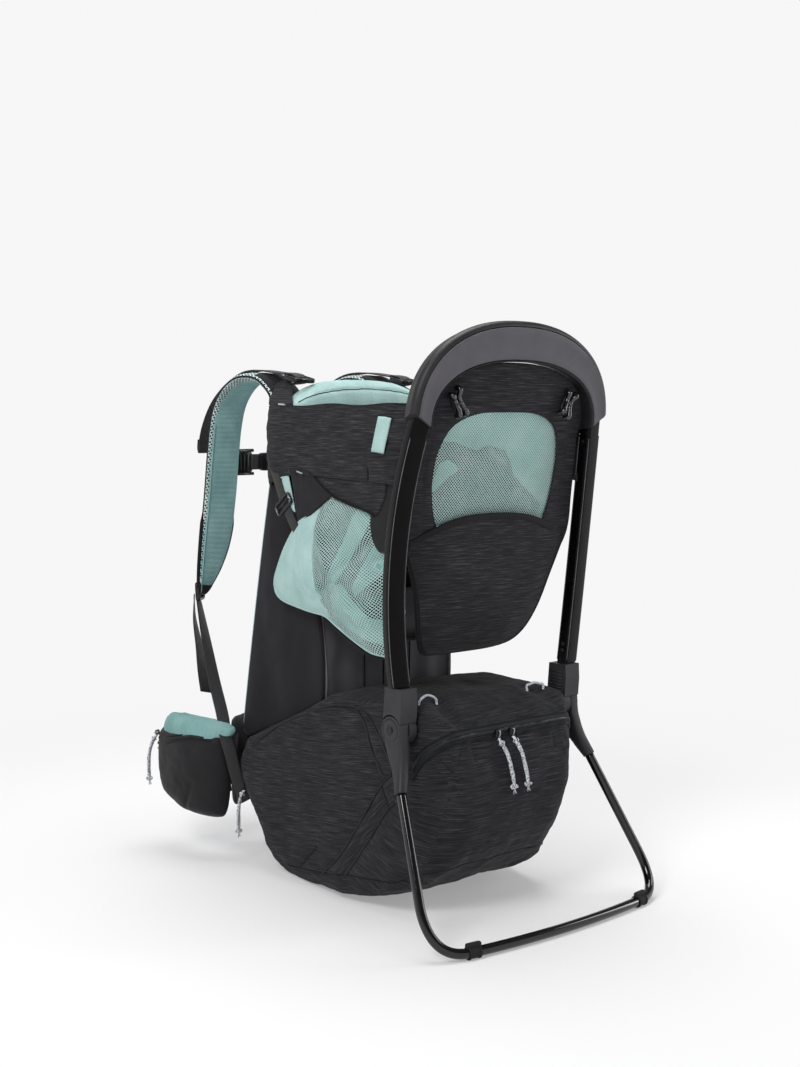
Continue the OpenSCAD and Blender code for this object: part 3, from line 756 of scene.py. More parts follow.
scene.collection.objects.link(floor)


# ---------------------------------------------------------------- cords

def cord_tube(name, route, node, body):
    """A two-strand pull cord along a route, with a knot where it starts and one where it ends."""
    middle = spline(route, 90)
    t = tangents(middle)
    run = np.linspace(0, length_of(middle), len(middle))
    side = unit(np.cross(t, (0.42, -0.9, 0.1)))
    high = np.cross(side, t)
    apart = 2.1 * np.clip(np.minimum(run, run[-1] - run) / 9, 0.35, 1)[:,
            None] * (1 + 0.12 * np.sin(run / 6.0))[:, None]
    path, second = middle - side * apart, middle + side * apart
    verts, uv = [], []
    around = np.arange(12) * 2 * np.pi / 12
    for i, p in enumerate(path):
        turn = run[i] / 7.0 * 2 * np.pi
        reach = 1.9 * (0.68 + 0.32 * np.abs(np.cos(around - turn)))
        verts.extend(p + side[i] * (c * r) + high[i] * (s * r) for c, s, r in
                     zip(np.cos(around), np.sin(around), reach))
        uv.extend((run[i], a * 1.5) for a in around)
    obj = make(name, verts, joined(len(path), 12), CORD, body, [node], uv)
    extras = [tube(name + "_strand", second, 1.8, CORD, body, sides=12),
              knot(name + "_knot_low", middle[-6], t[-6], body, 4.3),
              knot(name + "_knot_top", middle[8], t[8], body, 3.2),
              fray(name + "_end", middle[-1], t[-1], body)]


def knot(name, centre, way, body, size):
    """An overhand knot: a trefoil wound tightly round the cord."""
    way = unit(way)
    side = unit(np.cross(way, (0.3, 1, 0.2)))
    high = np.cross(side, way)
    a = np.linspace(0, 2 * np.pi, 72, endpoint=False)
    x = (np.sin(a) + 2 * np.sin(2 * a)) / 3 * size
    y = (np.cos(a) - 2 * np.cos(2 * a)) / 3 * size
    z = -np.sin(3 * a) * size * 0.62
    path = np.array(centre) + side * x[:, None] + way * y[:, None] + high * z[:, None] * 0.8
    return tube(name, path, 1.35, CORD, body, sides=10, closed=True, up=(0.21, 0.7, 0.33))


def fray(name, end, way, body):
    verts, faces = [], []
    way = unit(way)
    side = unit(np.cross(way, (0.3, 1, 0.2)))
    high = np.cross(side, way)
    for k in range(7):
        a = k * 0.9
        out = side * math.cos(a) + high * math.sin(a)
        tip_at = np.array(end) + way * (5.5 + (k * 37 % 5) * 0.6) + out * 2.3
        path = spline([np.array(end) - way * 1.0 + out * 0.5, np.array(end) + way * 2.4 + out * 1.1, tip_at],
                      6)
        v, f, _ = sweep(path, ring(0.42, 6), out, scale=np.linspace(1.1, 0.6, 6)[:, None])
        faces += [tuple(i + len(verts) for i in face) for face in f]
        verts += v.tolist()
    return make(name, verts, faces, CORD, body)


pull_line = [(0, -31, 246.8), (1, -35, 242), (3, -39, 235), (6, -42, 226), (9, -43, 216), (12, -43, 206),
             (15, -43, 196), (17, -43, 186), (18, -43, 178)]
for label, x in (("left", -32), ("right", -6)):
    cord_tube("bag_cord_" + label, [(p[0] + x, p[1], p[2]) for p in pull_line], "bag_pull_" + label,
              "bag_zip_" + label)
hip_line = [(198, 573, 174.8), (201, 577, 168), (203, 581, 158), (204, 585, 147), (204, 588, 135),
            (203, 590, 123), (202, 591, 111), (201, 591, 99)]
side_line = [(151.7, 398, 112), (152.5, 402, 106), (153, 406, 98), (153, 409, 88), (153, 411, 77),
             (153, 411, 66), (153, 411, 55), (153, 410, 45)]
for label, sign in (("left", -1), ("right", 1)):
    cord_tube("hip_cord_" + label, [(p[0] * sign, p[1], p[2]) for p in hip_line], "hip_pull_" + label,
              "hip_zip_" + label)
    cord_tube("side_cord_" + label, [(p[0] * sign, p[1], p[2]) for p in side_line], "side_pulls",
              "carrier")


# ---------------------------------------------------------------- handle, bars and stand

handle_mid_d, handle_low_z, spring_z = -14, 655, 665
handle_half_w, handle_rise = 178, 135.6
inner_half_w, inner_rise = 146, 81.6
arch_squareness = 2 / 2.3
# Where the handle's plastic ends on a bar
handle_end = (164, -14, 668.5)
end_slope = (0.62, 0.12, 1.0)
lean = math.radians(6)


def leaned(p):
    p = np.array(p, float)
    d, z = p[..., 1] - handle_mid_d, p[..., 2] - handle_low_z
    return np.stack([p[..., 0], handle_mid_d + d * math.cos(lean) - z * math.sin(lean),
                     handle_low_z + d * math.sin(lean) + z * math.cos(lean)], -1)


def arch(a, b):
    """The handle's arch, a wide each way and b high, with its two feet."""
    t = np.linspace(0, math.pi, 360)
    x = a * power(np.cos(t), arch_squareness)
    z = spring_z + b * power(np.sin(t), arch_squareness)
    low = handle_low_z - 14
    return np.vstack([[a, low], np.stack([x, z], 1), [-a, low]])


def arch_pair(count):
    """Places on the handle's outer edge and the matching places on its inner edge."""
    outer = resample(arch(handle_half_w, handle_rise), count)
    inner_fine = resample(arch(inner_half_w, inner_rise), 1200)
    tan = tangents(outer)
    inward = np.stack([-tan[:, 1], tan[:, 0]], 1)
    inner = np.empty_like(outer)
    for i, (p, w) in enumerate(zip(outer, inward)):
        rel = inner_fine - p
        off = np.abs(rel[:, 0] * w[1] - rel[:, 1] * w[0])
        along_way = rel @ w
        off[(along_way < 5) | (along_way > 75)] = 1e6
        inner[i] = inner_fine[np.argmin(off)]
    share_out = np.concatenate([[0], np.cumsum(np.linalg.norm(np.diff(outer, axis=0), axis=1))])
    share_in = np.concatenate([[0], np.cumsum(np.linalg.norm(np.diff(inner, axis=0), axis=1))])
    blend_share = 0.5 * share_out / share_out[-1] + 0.5 * share_in / max(share_in[-1], 1)
    inner = np.stack([np.interp(np.linspace(0, 1, count), blend_share, inner[:, k]) for k in range(2)], 1)
    outer = np.stack([np.interp(np.linspace(0, 1, count), blend_share, outer[:, k]) for k in range(2)], 1)
    return outer, inner


arch_out, arch_in = arch_pair(150)


def arch_band(name, profile, material, replaces):
    """A band round the handle; its profile counts from the outer edge, the inner edge or as a share."""
    rows = []
    for o, i in zip(arch_out, arch_in):
        way = unit(i - o)
        width = np.linalg.norm(i - o)
        for edge, off, depth in profile:
            place = off if edge == "o" else width - off if edge == "i" else width * off
            x, z = o + way * place
            rows.append((x, depth, z))
    obj = make(name, leaned(rows), joined(len(arch_out), len(profile)), material, "carrier",
               replaces)
    for sign in (-1, 1):
        cut(obj, at(sign * handle_end[0], *handle_end[1:]), (-sign * end_slope[0], *end_slope[1:]),
            below=True)
    sharp_by_angle(obj, 32)
    return obj


def cut(obj, place, normal, below):
    """Cuts a piece with a plane on that side of the middle, and closes it."""
    bm = bmesh.new()
    bm.from_mesh(obj.data)
    side = 1 if place[0] > 0 else -1
    near = [f for f in bm.faces if all(v.co.x * side > 0.05 for v in f.verts)]
    geom = near + list({e for f in near for e in f.edges}) + list({v for f in near for v in f.verts})
    result = bmesh.ops.bisect_plane(bm, geom=geom, plane_co=place, plane_no=normal, clear_inner=below,
                                    clear_outer=not below)
    edges = [g for g in result["geom_cut"] if isinstance(g, bmesh.types.BMEdge)]
    bmesh.ops.edgeloop_fill(bm, edges=edges)
    bmesh.ops.recalc_face_normals(bm, faces=bm.faces)
    bm.to_mesh(obj.data)
    bm.free()


def sharp_by_angle(obj, degrees):
    """Smooth faces, with their edges kept sharp where they turn more than an angle."""
    mesh = obj.data
    bm = bmesh.new()
    bm.from_mesh(mesh)
    for edge in bm.edges:
        if len(edge.link_faces) == 2:
            edge.smooth = edge.calc_face_angle(0) < math.radians(degrees)
    for face in bm.faces:
        face.smooth = True
    bm.to_mesh(mesh)
    bm.free()


def bevel(obj, width_mm, segments=3, angle=30):
    modifier = obj.modifiers.new("edges", "BEVEL")
    modifier.width = width_mm * 0.001
    modifier.segments = segments
    modifier.limit_method = "ANGLE"
    modifier.angle_limit = math.radians(angle)
    modifier.harden_normals = False


def paint(node, material):
    obj = bpy.data.objects[node]
    for spot in obj.material_slots:
        spot.material = material
    if not obj.material_slots:
        obj.data.materials.append(material)
    return obj


arch_band("handle_body", [
    ("o", 8.5, 1), ("o", 6, -0.5), ("o", 4.2, -5), ("o", 3.2, -10), ("o", 1.0, -13.2), ("o", 0.2, -15.5),
    ("o", 0, -18.5), ("o", 0.5, -21.5), ("o", 1.8, -24.2), ("o", 4.2, -25.9), ("o", 6.6, -26.6),
    ("o", 7.2, -26.0), ("o", 7.4, -23.8), ("i", 3.2, -23.8), ("i", 2.8, -26.2), ("i", 2.0, -26.9),
    ("i", 0.9, -26.0), ("i", 0.2, -23.8), ("i", 0, -20), ("i", 0, -8), ("i", 0.5, -2.5), ("i", 2.5, 0.4),
    ("i", 5, 1), ("s", 0.5, 1)], HANDLE, ["handle_shell"])
arch_band("handle_face", [
    ("o", 8.0, -24.2), ("o", 8.0, -27.2), ("o", 8.5, -28.2), ("o", 9.8, -28.8), ("s", 0.34, -28.0),
    ("s", 0.44, -27.5), ("s", 0.55, -27.25), ("s", 0.66, -27.2), ("s", 0.78, -27.4), ("i", 5.6, -27.9),
    ("i", 4.4, -27.6), ("i", 3.8, -26.9), ("i", 3.6, -24.2)], HANDLE_FACE, ["handle_trim"])


def turn_x(p, a):
    c, s = math.cos(a), math.sin(a)
    return np.stack([p[..., 0], p[..., 1] * c - p[..., 2] * s, p[..., 1] * s + p[..., 2] * c], -1)


def turn_y(p, a):
    c, s = math.cos(a), math.sin(a)
    return np.stack([p[..., 0] * c + p[..., 2] * s, p[..., 1], -p[..., 0] * s + p[..., 2] * c], -1)


def turn_z(p, a):
    c, s = math.cos(a), math.sin(a)
    return np.stack([p[..., 0] * c - p[..., 1] * s, p[..., 0] * s + p[..., 1] * c, p[..., 2]], -1)


bow_radius = 855
bow_way, bow_face = math.radians(41), math.radians(31)
bow_lean, bow_splay = math.radians(5.4), math.radians(1.85)
bow_apex = np.array([170, 21.6, 462])


def bar_places(spots, angles):
    """Places in a side bar: spots across its section, at angles along its bow."""
    out = []
    for phi in angles:
        c, s = math.cos(phi), math.sin(phi)
        for u, v in spots:
            ua = u * math.cos(bow_face) - v * math.sin(bow_face)
            va = u * math.sin(bow_face) + v * math.cos(bow_face)
            out.append((-bow_radius + (bow_radius + ua) * c, -va, (bow_radius + ua) * s))
    p = turn_y(turn_x(turn_z(np.array(out), bow_way), bow_lean), bow_splay)
    return p + bow_apex


bar_outline = rounded(26, 18, 4.2, 6)
for label, sign in (("left", -1), ("right", 1)):
    angles = np.linspace(math.radians(-10.5), math.radians(15), 70)
    verts = bar_places(bar_outline, angles)
    verts[:, 0] *= sign
    bar = make("bar_" + label, verts, joined(len(angles), len(bar_outline)), LACQUER, "carrier",
               ["frame_bar_" + label])
    cut(bar, at(sign * handle_end[0], handle_end[1], handle_end[2] - 0.5),
        (-sign * end_slope[0], *end_slope[1:]), below=False)
    cut(bar, at(sign * 164, 30, 322.2), (0, 0, 1), below=True)
    sharp_by_angle(bar, 40)
    # Thin grey lines along three edges of each bar: painted highlights, not a part of the bar.
    for which, spot in (("front", (-12.1, 8.1)), ("outer", (12.1, 8.1)), ("inner", (-12.1, -8.1))):
        edge = bar_places([spot], np.linspace(math.radians(-9.2), math.radians(12.6), 60))
        edge[:, 0] *= sign
        keep = (edge[:, 2] > 323) & (edge[:, 2] < 655)
        tube("bar_painted_highlight_%s_%s" % (which, label), edge[keep], 0.62, BAR_EDGE_HIGHLIGHT, "carrier", sides=8)

stand_z = 8.5
half_route = [(165 * t, -127 + 12 * t * t, stand_z) for t in np.arange(0, 0.9, 0.125)]
for t in np.linspace(0, 1, 11):
    a, b, c = np.array([165, -115, stand_z]), np.array([212, -102, stand_z]), np.array([204, -71, 60])
    half_route.append(tuple((1 - t) ** 2 * a + 2 * t * (1 - t) * b + t * t * c))
leg_low, sleeve_end = np.array([204.0, -71, 60]), np.array([176.0, 0, 191])
for t in np.arange(0.25, 1.01, 0.25):
    half_route.append(tuple(leg_low + t * 0.99 * (sleeve_end - leg_low)))
half_route = np.array(half_route)
other = half_route[:0:-1] * np.array([-1, 1, 1])
stand_path = resample(np.vstack([other, half_route]), 190)
for _ in range(2):
    stand_path[1:-1] = (stand_path[:-2] + 2 * stand_path[1:-1] + stand_path[2:]) / 4
v, f, uv = sweep(stand_path, ring(6.5, 28), (0, 0.9, -0.45))
make("stand_hoop", v, f, GLOSS, "stand", ["stand_tube"], uv)


def loft(sections, per=28):
    """A solid through sections: centre, half sizes, squareness, and the way it faces."""
    verts = []
    for centre, half_a, half_b, square, across_way, high_way in sections:
        for a in np.arange(per) * 2 * np.pi / per:
            ca, sa = power(math.cos(a), 2 / square), power(math.sin(a), 2 / square)
            across = np.array(across_way) * ca * half_a
            verts.append(np.array(centre) + across + np.array(high_way) * sa * half_b)
    return verts, joined(len(sections), per)


def disc(name, centre, way, radii, material, body, replaces=()):
    """A turned piece: (distance along the axis, radius) pairs round a way."""
    way = unit(way)
    side = unit(np.cross(way, (0.2, 0.3, 1)))
    high = np.cross(side, way)
    sides = 48
    verts = []
    for run, r in radii:
        for a in np.arange(sides) * 2 * np.pi / sides:
            verts.append(np.array(centre) + way * run + (side * math.cos(a) + high * math.sin(a)) * r)
    obj = make(name, verts, joined(len(radii), sides), material, body, replaces)
    sharp_by_angle(obj, 35)


leg_way = unit(sleeve_end - leg_low)
for label, sign in (("left", -1), ("right", 1)):
    flip = np.array([sign, 1, 1])
    sections = []
    path = spline([(159.2, 31, 275.6), (159.2, 30.5, 262), (159.8, 27, 246), (162.5, 19.5, 228),
                   (168.5, 9.5, 209), sleeve_end], 22)
    shares = np.linspace(0, 1, 22)
    half_a = np.interp(shares, (0, 0.3, 0.6, 1), (7.9, 7.9, 8.2, 8.5))
    half_b = np.interp(shares, (0, 0.18, 0.42, 0.7, 1), (18.6, 18.8, 16.5, 11, 8.5))
    square = np.interp(shares, (0, 0.35, 0.75, 1), (7, 5.5, 3, 2))
    for p, ha, hb, sq, share in zip(path, half_a, half_b, square, shares):
        down = unit(np.array([0, 0, -1]) * (1 - share) - leg_way * share)
        across_way = unit(np.cross(np.cross(down, (1, 0, 0)), down))
        high_way = np.cross(across_way, down)
        sections.append((p * flip, ha, hb, sq, across_way * flip, high_way * flip))
    last = sections[-1]
    sections.append((sleeve_end * flip - leg_way * flip * 1.4, 8.5, 8.5, 2, last[4], last[5]))
    sections.append((sleeve_end * flip - leg_way * flip * 2.0, 8.0, 8.0, 2, last[4], last[5]))
    v, f = loft(sections)
    knuckle = make("knuckle_" + label, v, f, HUB, "stand", ["stand_knuckle_" + label])
    sharp_by_angle(knuckle, 40)
    bevel(knuckle, 0.8, 2, 50)
    disc("knuckle_boss_" + label, (sign * 165.5, 32, 266), (sign, 0, 0),
         ((0, 18.5), (1.2, 18.5), (1.8, 17.9), (1.8, 15.6), (1.1, 15.2), (1.1, 14.4), (2.2, 13.8),
          (2.5, 12.8), (2.2, 6.5), (1.2, 6.0), (1.2, 3.4), (2.0, 3.0)), HUB, "stand")
    hub = paint("hub_" + label, HUB)
    bevel(hub, 3.6, 5)
    for row in range(7):
        z = 283 + row * 4.6
        tube("hub_rib_%s_%d" % (label, row), [(sign * 138.6, 17, z), (sign * 138.6, 41, z)], 0.9, HUB,
             "carrier", sides=8, up=(0, 0.1, 1))
    x0 = sign * 156
    d0 = -127 + 12 * (156 / 165) ** 2
    turn = math.radians(8 * sign)
    clip_way = np.array([math.cos(turn), math.sin(turn), 0])
    disc("foot_sleeve_" + label, (x0, d0, stand_z), clip_way,
         ((-9, 7.0), (-9, 8.1), (-8.5, 8.5), (-7, 8.5), (-6.5, 8.0), (-6.3, 7.5), (6.3, 7.5), (6.5, 8.0),
          (7, 8.5), (8.5, 8.5), (9, 8.1), (9, 7.0)), RUBBER, "stand", ["foot_clips"])
    lug = []
    for lift, ha, hb in ((5.5, 11, 3), (9.5, 11.4, 3), (11.6, 11.2, 2.9), (12.6, 10.2, 2.4), (12.9, 9, 1.6)):
        lug.append((np.array([x0, d0, stand_z + lift]), ha, hb, 6, clip_way, np.cross(clip_way, (0, 0, 1))))
    v, f = loft(lug, 32)
    lug_piece = make("foot_lug_" + label, v, f, RUBBER, "stand", ["foot_clips"])
    sharp_by_angle(lug_piece, 50)
paint("frame_fasteners", HARD)
bevel(bpy.data.objects["frame_fasteners"], 0.5, 2)


# ---------------------------------------------------------------- rear panel

rear_line = spline([(760, -30), (735, -22), (690, -13), (600, 10), (520, 22), (450, 32), (400, 45), (362, 65),
                    (346, 92)], 300)


def rear_depth(z):
    return np.interp(z, rear_line[::-1, 0], rear_line[::-1, 1])


def rear_spot(x, z, out=0.0):
    """A place on the rear panel's face, out in front of it."""
    x, z = np.asarray(x, float), np.asarray(z, float)
    cup = 5.0 * (np.abs(x) / 143) ** 2.6
    return x, rear_depth(z) + cup - out, z


inner_arch = [(144.6 * power(math.cos(t), arch_squareness),
               spring_z + 80.2 * power(math.sin(t), arch_squareness))
              for t in np.linspace(0.02, math.pi / 2, 40)]
panel_low = [(0, 348), (40, 348), (66, 350.5), (85, 359), (99, 376), (110, 402), (120, 434), (134, 476),
             (153, 514), (154, 560), (151, 610), (144, 650)]
panel_half = np.vstack([spline(panel_low, 60), inner_arch])
panel_outline = both(panel_half)
window_half = np.vstack([spline([(0, 543), (40, 541.3), (70, 536.5), (88, 531), (97, 527)], 30),
                         spline([(99, 528), (106, 545), (112, 572), (114, 600), (111, 629), (100, 655),
                                 (80, 671), (48, 680), (0, 681.5)], 60)])
window_outline = both(window_half)
window_mid = np.array([0, 600.0])


def polar(outline, centre, angles):
    p = resample(np.vstack([outline, outline[:1]]), 1600, True) - centre
    a = np.arctan2(p[:, 1], p[:, 0])
    order = np.argsort(a)
    a, r = a[order], np.linalg.norm(p, axis=1)[order]
    a = np.concatenate([a - 2 * np.pi, a, a + 2 * np.pi])
    r = np.tile(r, 3)
    radius = np.interp(angles, a, r)
    return centre + np.stack([np.cos(angles), np.sin(angles)], 1) * radius[:, None]


corner_angle = np.arctan2(*(np.array([98, 527.5]) - window_mid)[::-1])
angles = np.unique(np.concatenate([np.linspace(-np.pi, np.pi, 200, endpoint=False),
                                   [corner_angle, -np.pi - corner_angle]]))
inner_edge = polar(window_outline, window_mid, angles)
outer_edge = polar(panel_outline, window_mid, angles)
share = np.linspace(0, 1, 24)[:, None, None]
flat = inner_edge[None] * (1 - share) + outer_edge[None] * share
px, pd, pz = rear_spot(flat[..., 0], flat[..., 1], 0)
grid = np.stack([px, pd, pz], -1)
fade = np.sin(np.pi * np.clip(share[..., 0], 0, 1)) ** 0.5 * np.ones(flat.shape[:2])
rumple = value_noise(grid.reshape(-1, 3), (0.008, 0.02, 0.022), 3.1).reshape(fade.shape)
grid[..., 1] -= fade * (1.5 + 1.8 * rumple)
band_share = share[..., 0] * np.ones(flat.shape[:2])
grid[..., 1] += 1.2 * np.exp(-((band_share - 0.0) / 0.07) ** 2)


def ring_cloth(name, grid, spots, thick, material, body, replaces=()):
    """A sheet with a hole: its rows are closed rings."""
    m, n = grid.shape[:2]
    back = grid - normals_of(grid, True) * thick
    size = m * n
    faces = []
    for j in range(n):
        k = (j + 1) % n
        for i in range(m - 1):
            a, b, c, d = i * n + j, (i + 1) * n + j, (i + 1) * n + k, i * n + k
            faces.append((a, b, c, d))
            faces.append((size + d, size + c, size + b, size + a))
        faces.append((k, size + k, size + j, j))
        a, b = (m - 1) * n + j, (m - 1) * n + k
        faces.append((a, size + a, size + b, b))
    return make(name, np.concatenate([grid.reshape(-1, 3), back.reshape(-1, 3)]), faces, material, body,
                replaces, np.concatenate([spots.reshape(-1, 2)] * 2))


rear_cloth = ring_cloth("rear_panel_cloth", grid, flat, -3.2, HEATHER, "carrier",
                        ["rear_panel"])
seam_x = [(127, 652), (129.5, 600), (126, 550), (121, 524)]
seams = [[rear_spot(sign * x, z, 1.0) for x, z in seam_x] for sign in (-1, 1)]
press(rear_cloth, seams, 1.6, 3.5)
for label, sign in (("left", -1), ("right", 1)):
    line = spline([rear_spot(sign * x, z, 0.9) for x, z in seam_x], 60)
    tube("rear_seam_" + label, line, 0.7, BINDING, "carrier", sides=8)
    edge_path = spline([rear_spot(sign * (x + 0.6), z, 0.6) for x, z in panel_low], 90)
    tube("rear_piping_" + label, edge_path, 2.1, BINDING, "carrier", sides=10)
    rim_at = spline([(147, 668), (148, 640), (151, 600), (152, 560), (150, 524), (147, 505), (144, 494)], 60)
    rim = np.array([rear_spot(sign * x, z, -33) for x, z in rim_at], float).reshape(-1, 3)
    v, f, uv = sweep(rim, rounded(7.5, 66, 3.2, 4), (0, 1, 0.12), scale=np.stack(
        [np.linspace(1, 0.8, 60), np.interp(np.linspace(0, 1, 60), (0, 0.1, 0.86, 0.96, 1),
                                            (0.7, 1, 1, 0.8, 0.55))], 1))
    make("shell_rim_" + label, v, f, SMOOTH, "carrier", (), uv)

edge_net = rim_of(window_outline, lambda x, z, r: rear_spot(x, z, 1.2), 220)
tube("window_binding", edge_net, 1.7, HEATHER, "carrier", closed=True, sides=10,
     up=(0, 1, 0.05))


def net_place(x, z, r):
    x, d, z = rear_spot(x, z, 0)
    billow = 1 - r ** 2.5
    crease = 2.2 * np.exp(-((x * 0.5 + (z - 610) * 0.9) / 9) ** 2)
    crease = crease + 1.6 * np.exp(-((x * 0.8 - (z - 590) * 0.6 - 40) / 10) ** 2)
    return x, d + 1.0 - billow * (3.5 + crease), z


window = patch("window_cloth", window_outline, (0, 605), net_place, 0.35, WINDOW_NET, "carrier", "teal_mesh",
               ["rear_mesh"], rings=30, count=200, amount=0.9, scale=(0.02, 0.02, 0.02), seed=5)


def inner_sheet(name, outline, centre, out, material, slot_name, seed, amount):
    return patch(name, np.array(outline, float), centre,
                 lambda x, z, r: (x, rear_depth(z) + out - 3.0 * (1 - r ** 2), z), 1.0, material, "carrier",
                 slot_name, rings=12, count=110, amount=amount, scale=(0.03, 0.02, 0.03), seed=seed)


# The lining behind the window net uses the darkened teal, so its colour holds painted shade.
inner_sheet("window_lining", np.array([window_mid + (p - window_mid) * 1.14 for p in window_outline]),
            (0, 605), 22, SHADED_TEAL, "teal_fabric", 2.0, 3.0)
# A black sheet behind the lower window: painted shade for the dark inside of the cockpit, seen through the
# net.
inner_sheet("window_shade_sheet",
            [(-104, 530), (-60, 539), (0, 544), (60, 540), (100, 530), (108, 552), (88, 566), (66, 580),
                                 (48, 594), (38, 612), (26, 628), (8, 632), (-10, 636), (-28, 628),
                                 (-50, 634), (-72, 641), (-92, 640), (-104, 626), (-112, 600), (-112, 570)],
                                 (-15, 582), 15, SMOOTH,
            "black_fabric", 7.0, 3.0)
inner_sheet("window_fold_teal",
            [(-113, 578), (-104, 590), (-96, 612), (-84, 618), (-70, 612), (-62, 604), (-84, 590),
                                 (-100, 576)], (-88, 598), 10, SHADED_TEAL, "teal_fabric", 9.0, 1.0)

pocket_half = spline([(0, 347), (40, 347.5), (65, 350.5), (83, 359.5), (97, 377), (108, 403), (117, 432),
                      (126, 458), (137, 484), (145, 502)], 60)
pocket_top = spline([(143, 509), (128, 515), (110, 522.5), (88, 530.5), (60, 537.3), (30, 540.6), (0, 541)],
                    40)
pocket_outline = both(np.vstack([pocket_half, pocket_top]))


def pocket_place(x, z, r):
    x, d, z = rear_spot(x, z, 0)
    belly = (1 - r ** 3.2) * (7.5 + 4.5 * np.clip((520 - z) / 120, 0, 1))
    mouth = 5.0 * np.clip((z - 500) / 30, 0, 1) * np.exp(-(x / 110) ** 4)
    sag = 2.4 * np.exp(-((z - 492 + 0.0012 * x * x) / 7) ** 2) * (1 - r ** 6)
    return x, d - 2.2 - np.maximum(belly, mouth) + sag, z


pocket = patch("pocket_cloth", pocket_outline, (0, 452), pocket_place, -1.6, HEATHER, "carrier",
               "heather_fabric", ["rear_pocket"], rings=34, count=200, amount=2.6, scale=(0.009, 0.02, 0.024),
               seed=11)
pocket_seam = [(-108, 442), (-60, 437), (0, 435), (60, 437), (108, 441)]
tree = surface_tree(pocket)
line = []
for x, z in spline(pocket_seam, 90):
    spot = tree.ray_cast(Vector((x * 0.001, depth_zero - 0.1, z * 0.001)), Vector((0, 1, 0)), 0.3)[0]
    line.append((x, (spot.y - depth_zero) * 1000 + 1.2, z))
line = np.array(line)
press(pocket, [line], 3.4, 5.5)
tube("pocket_seam_line", line + np.array([0, -0.6, 0]), 1.2, BINDING, "carrier", sides=8)
mouth_path = [pocket_place(np.array(x), np.array(z), 1.0) for x, z in mirrored(pocket_top)] + \
             [pocket_place(np.array(x), np.array(z), 1.0) for x, z in pocket_top[::-1]]
mouth_path = resample(np.array(mouth_path, float).reshape(-1, 3), 120)
v, f, uv = sweep(mouth_path + np.array([0, -0.6, -1.5]), rounded(3.4, 9.5, 1.5, 3), (0, -0.1, 1))
make("pocket_mouth_binding", v, f, BINDING, "carrier", (), uv)
side_path = [pocket_place(np.array(x), np.array(z), 1.0) for x, z in pocket_half]
side_path = np.array(side_path, float).reshape(-1, 3)
whole = np.vstack([(side_path * np.array([-1, 1, 1]))[::-1], side_path[1:]])
tube("pocket_edge_binding", resample(whole, 200) + np.array([0, -0.6, 0]), 2.2, BINDING, "carrier",
     sides=10)

for label, sign in (("left", -1), ("right", 1)):
    lean_way = np.array([sign * math.sin(math.radians(25)), 0, math.cos(math.radians(25))])
    mid = np.array([sign * 101, -24.5, 691])
    wide = np.cross(lean_way, (0, 1, 0))
    for k, (shift, height) in enumerate(((-6.0, 37), (6.0, 31))):
        path = [mid + wide * shift - lean_way * height / 2 + np.array([0, 4, 0]),
                mid + wide * shift - lean_way * height * 0.42 + np.array([0, -3.5, 0]),
                mid + wide * shift * 0.7 - lean_way * height * 0.1 + np.array([0, -1.5, 0]),
                mid + wide * shift * 0.7 + lean_way * height * 0.2 + np.array([0, -1.0, 0]),
                mid + wide * shift * 1.2 + lean_way * height * 0.42 + np.array([0, -4.5, 0]),
                mid + wide * shift * 1.3 + lean_way * height * 0.5 + np.array([0, 2.0, 0])]
        tube("canopy_hook_%s_%d" % (label, k), spline(path, 36), 3.3, GLINT, "carrier",
             ["canopy_clips"] if k == 0 else [], sides=12, up=wide,
             scale=np.interp(np.linspace(0, 1, 36), (0, 0.3, 0.55, 1), (1.25, 0.95, 0.9, 1.2))[:, None])
    tube("canopy_bridge_" + label,
         [mid + wide * -6 + np.array([0, -1, 0]), mid + wide * 6 + np.array([0, -1, 0])], 3.2, HARD,
         "carrier", sides=12, up=lean_way)
    plate = []
    for out, grow in ((4.6, 1.0), (2.6, 1.0), (1.8, 0.9)):
        plate.append((mid + np.array([0, out, 0]), 7.0 * grow, 13.5 * grow, 4, wide, lean_way))
    v, f = loft(plate, 32)
    make("canopy_plate_" + label, v, f, HARD, "carrier")


# ---------------------------------------------------------------- seat sides and cockpit

plan = spline([(-150, 6), (-156.5, 26), (-158, 46), (-156, 90), (-152, 150), (-148.5, 210), (-144.5, 270),
               (-140.5, 318), (-135, 343), (-124, 358), (-108, 364)], 120)


def side_x(d):
    """The seat side's distance from the middle at a depth."""
    return -np.interp(d, (4, 44, 90, 150, 210, 270, 334), (155, 158, 156, 152.2, 148.5, 144.6, 140.2))


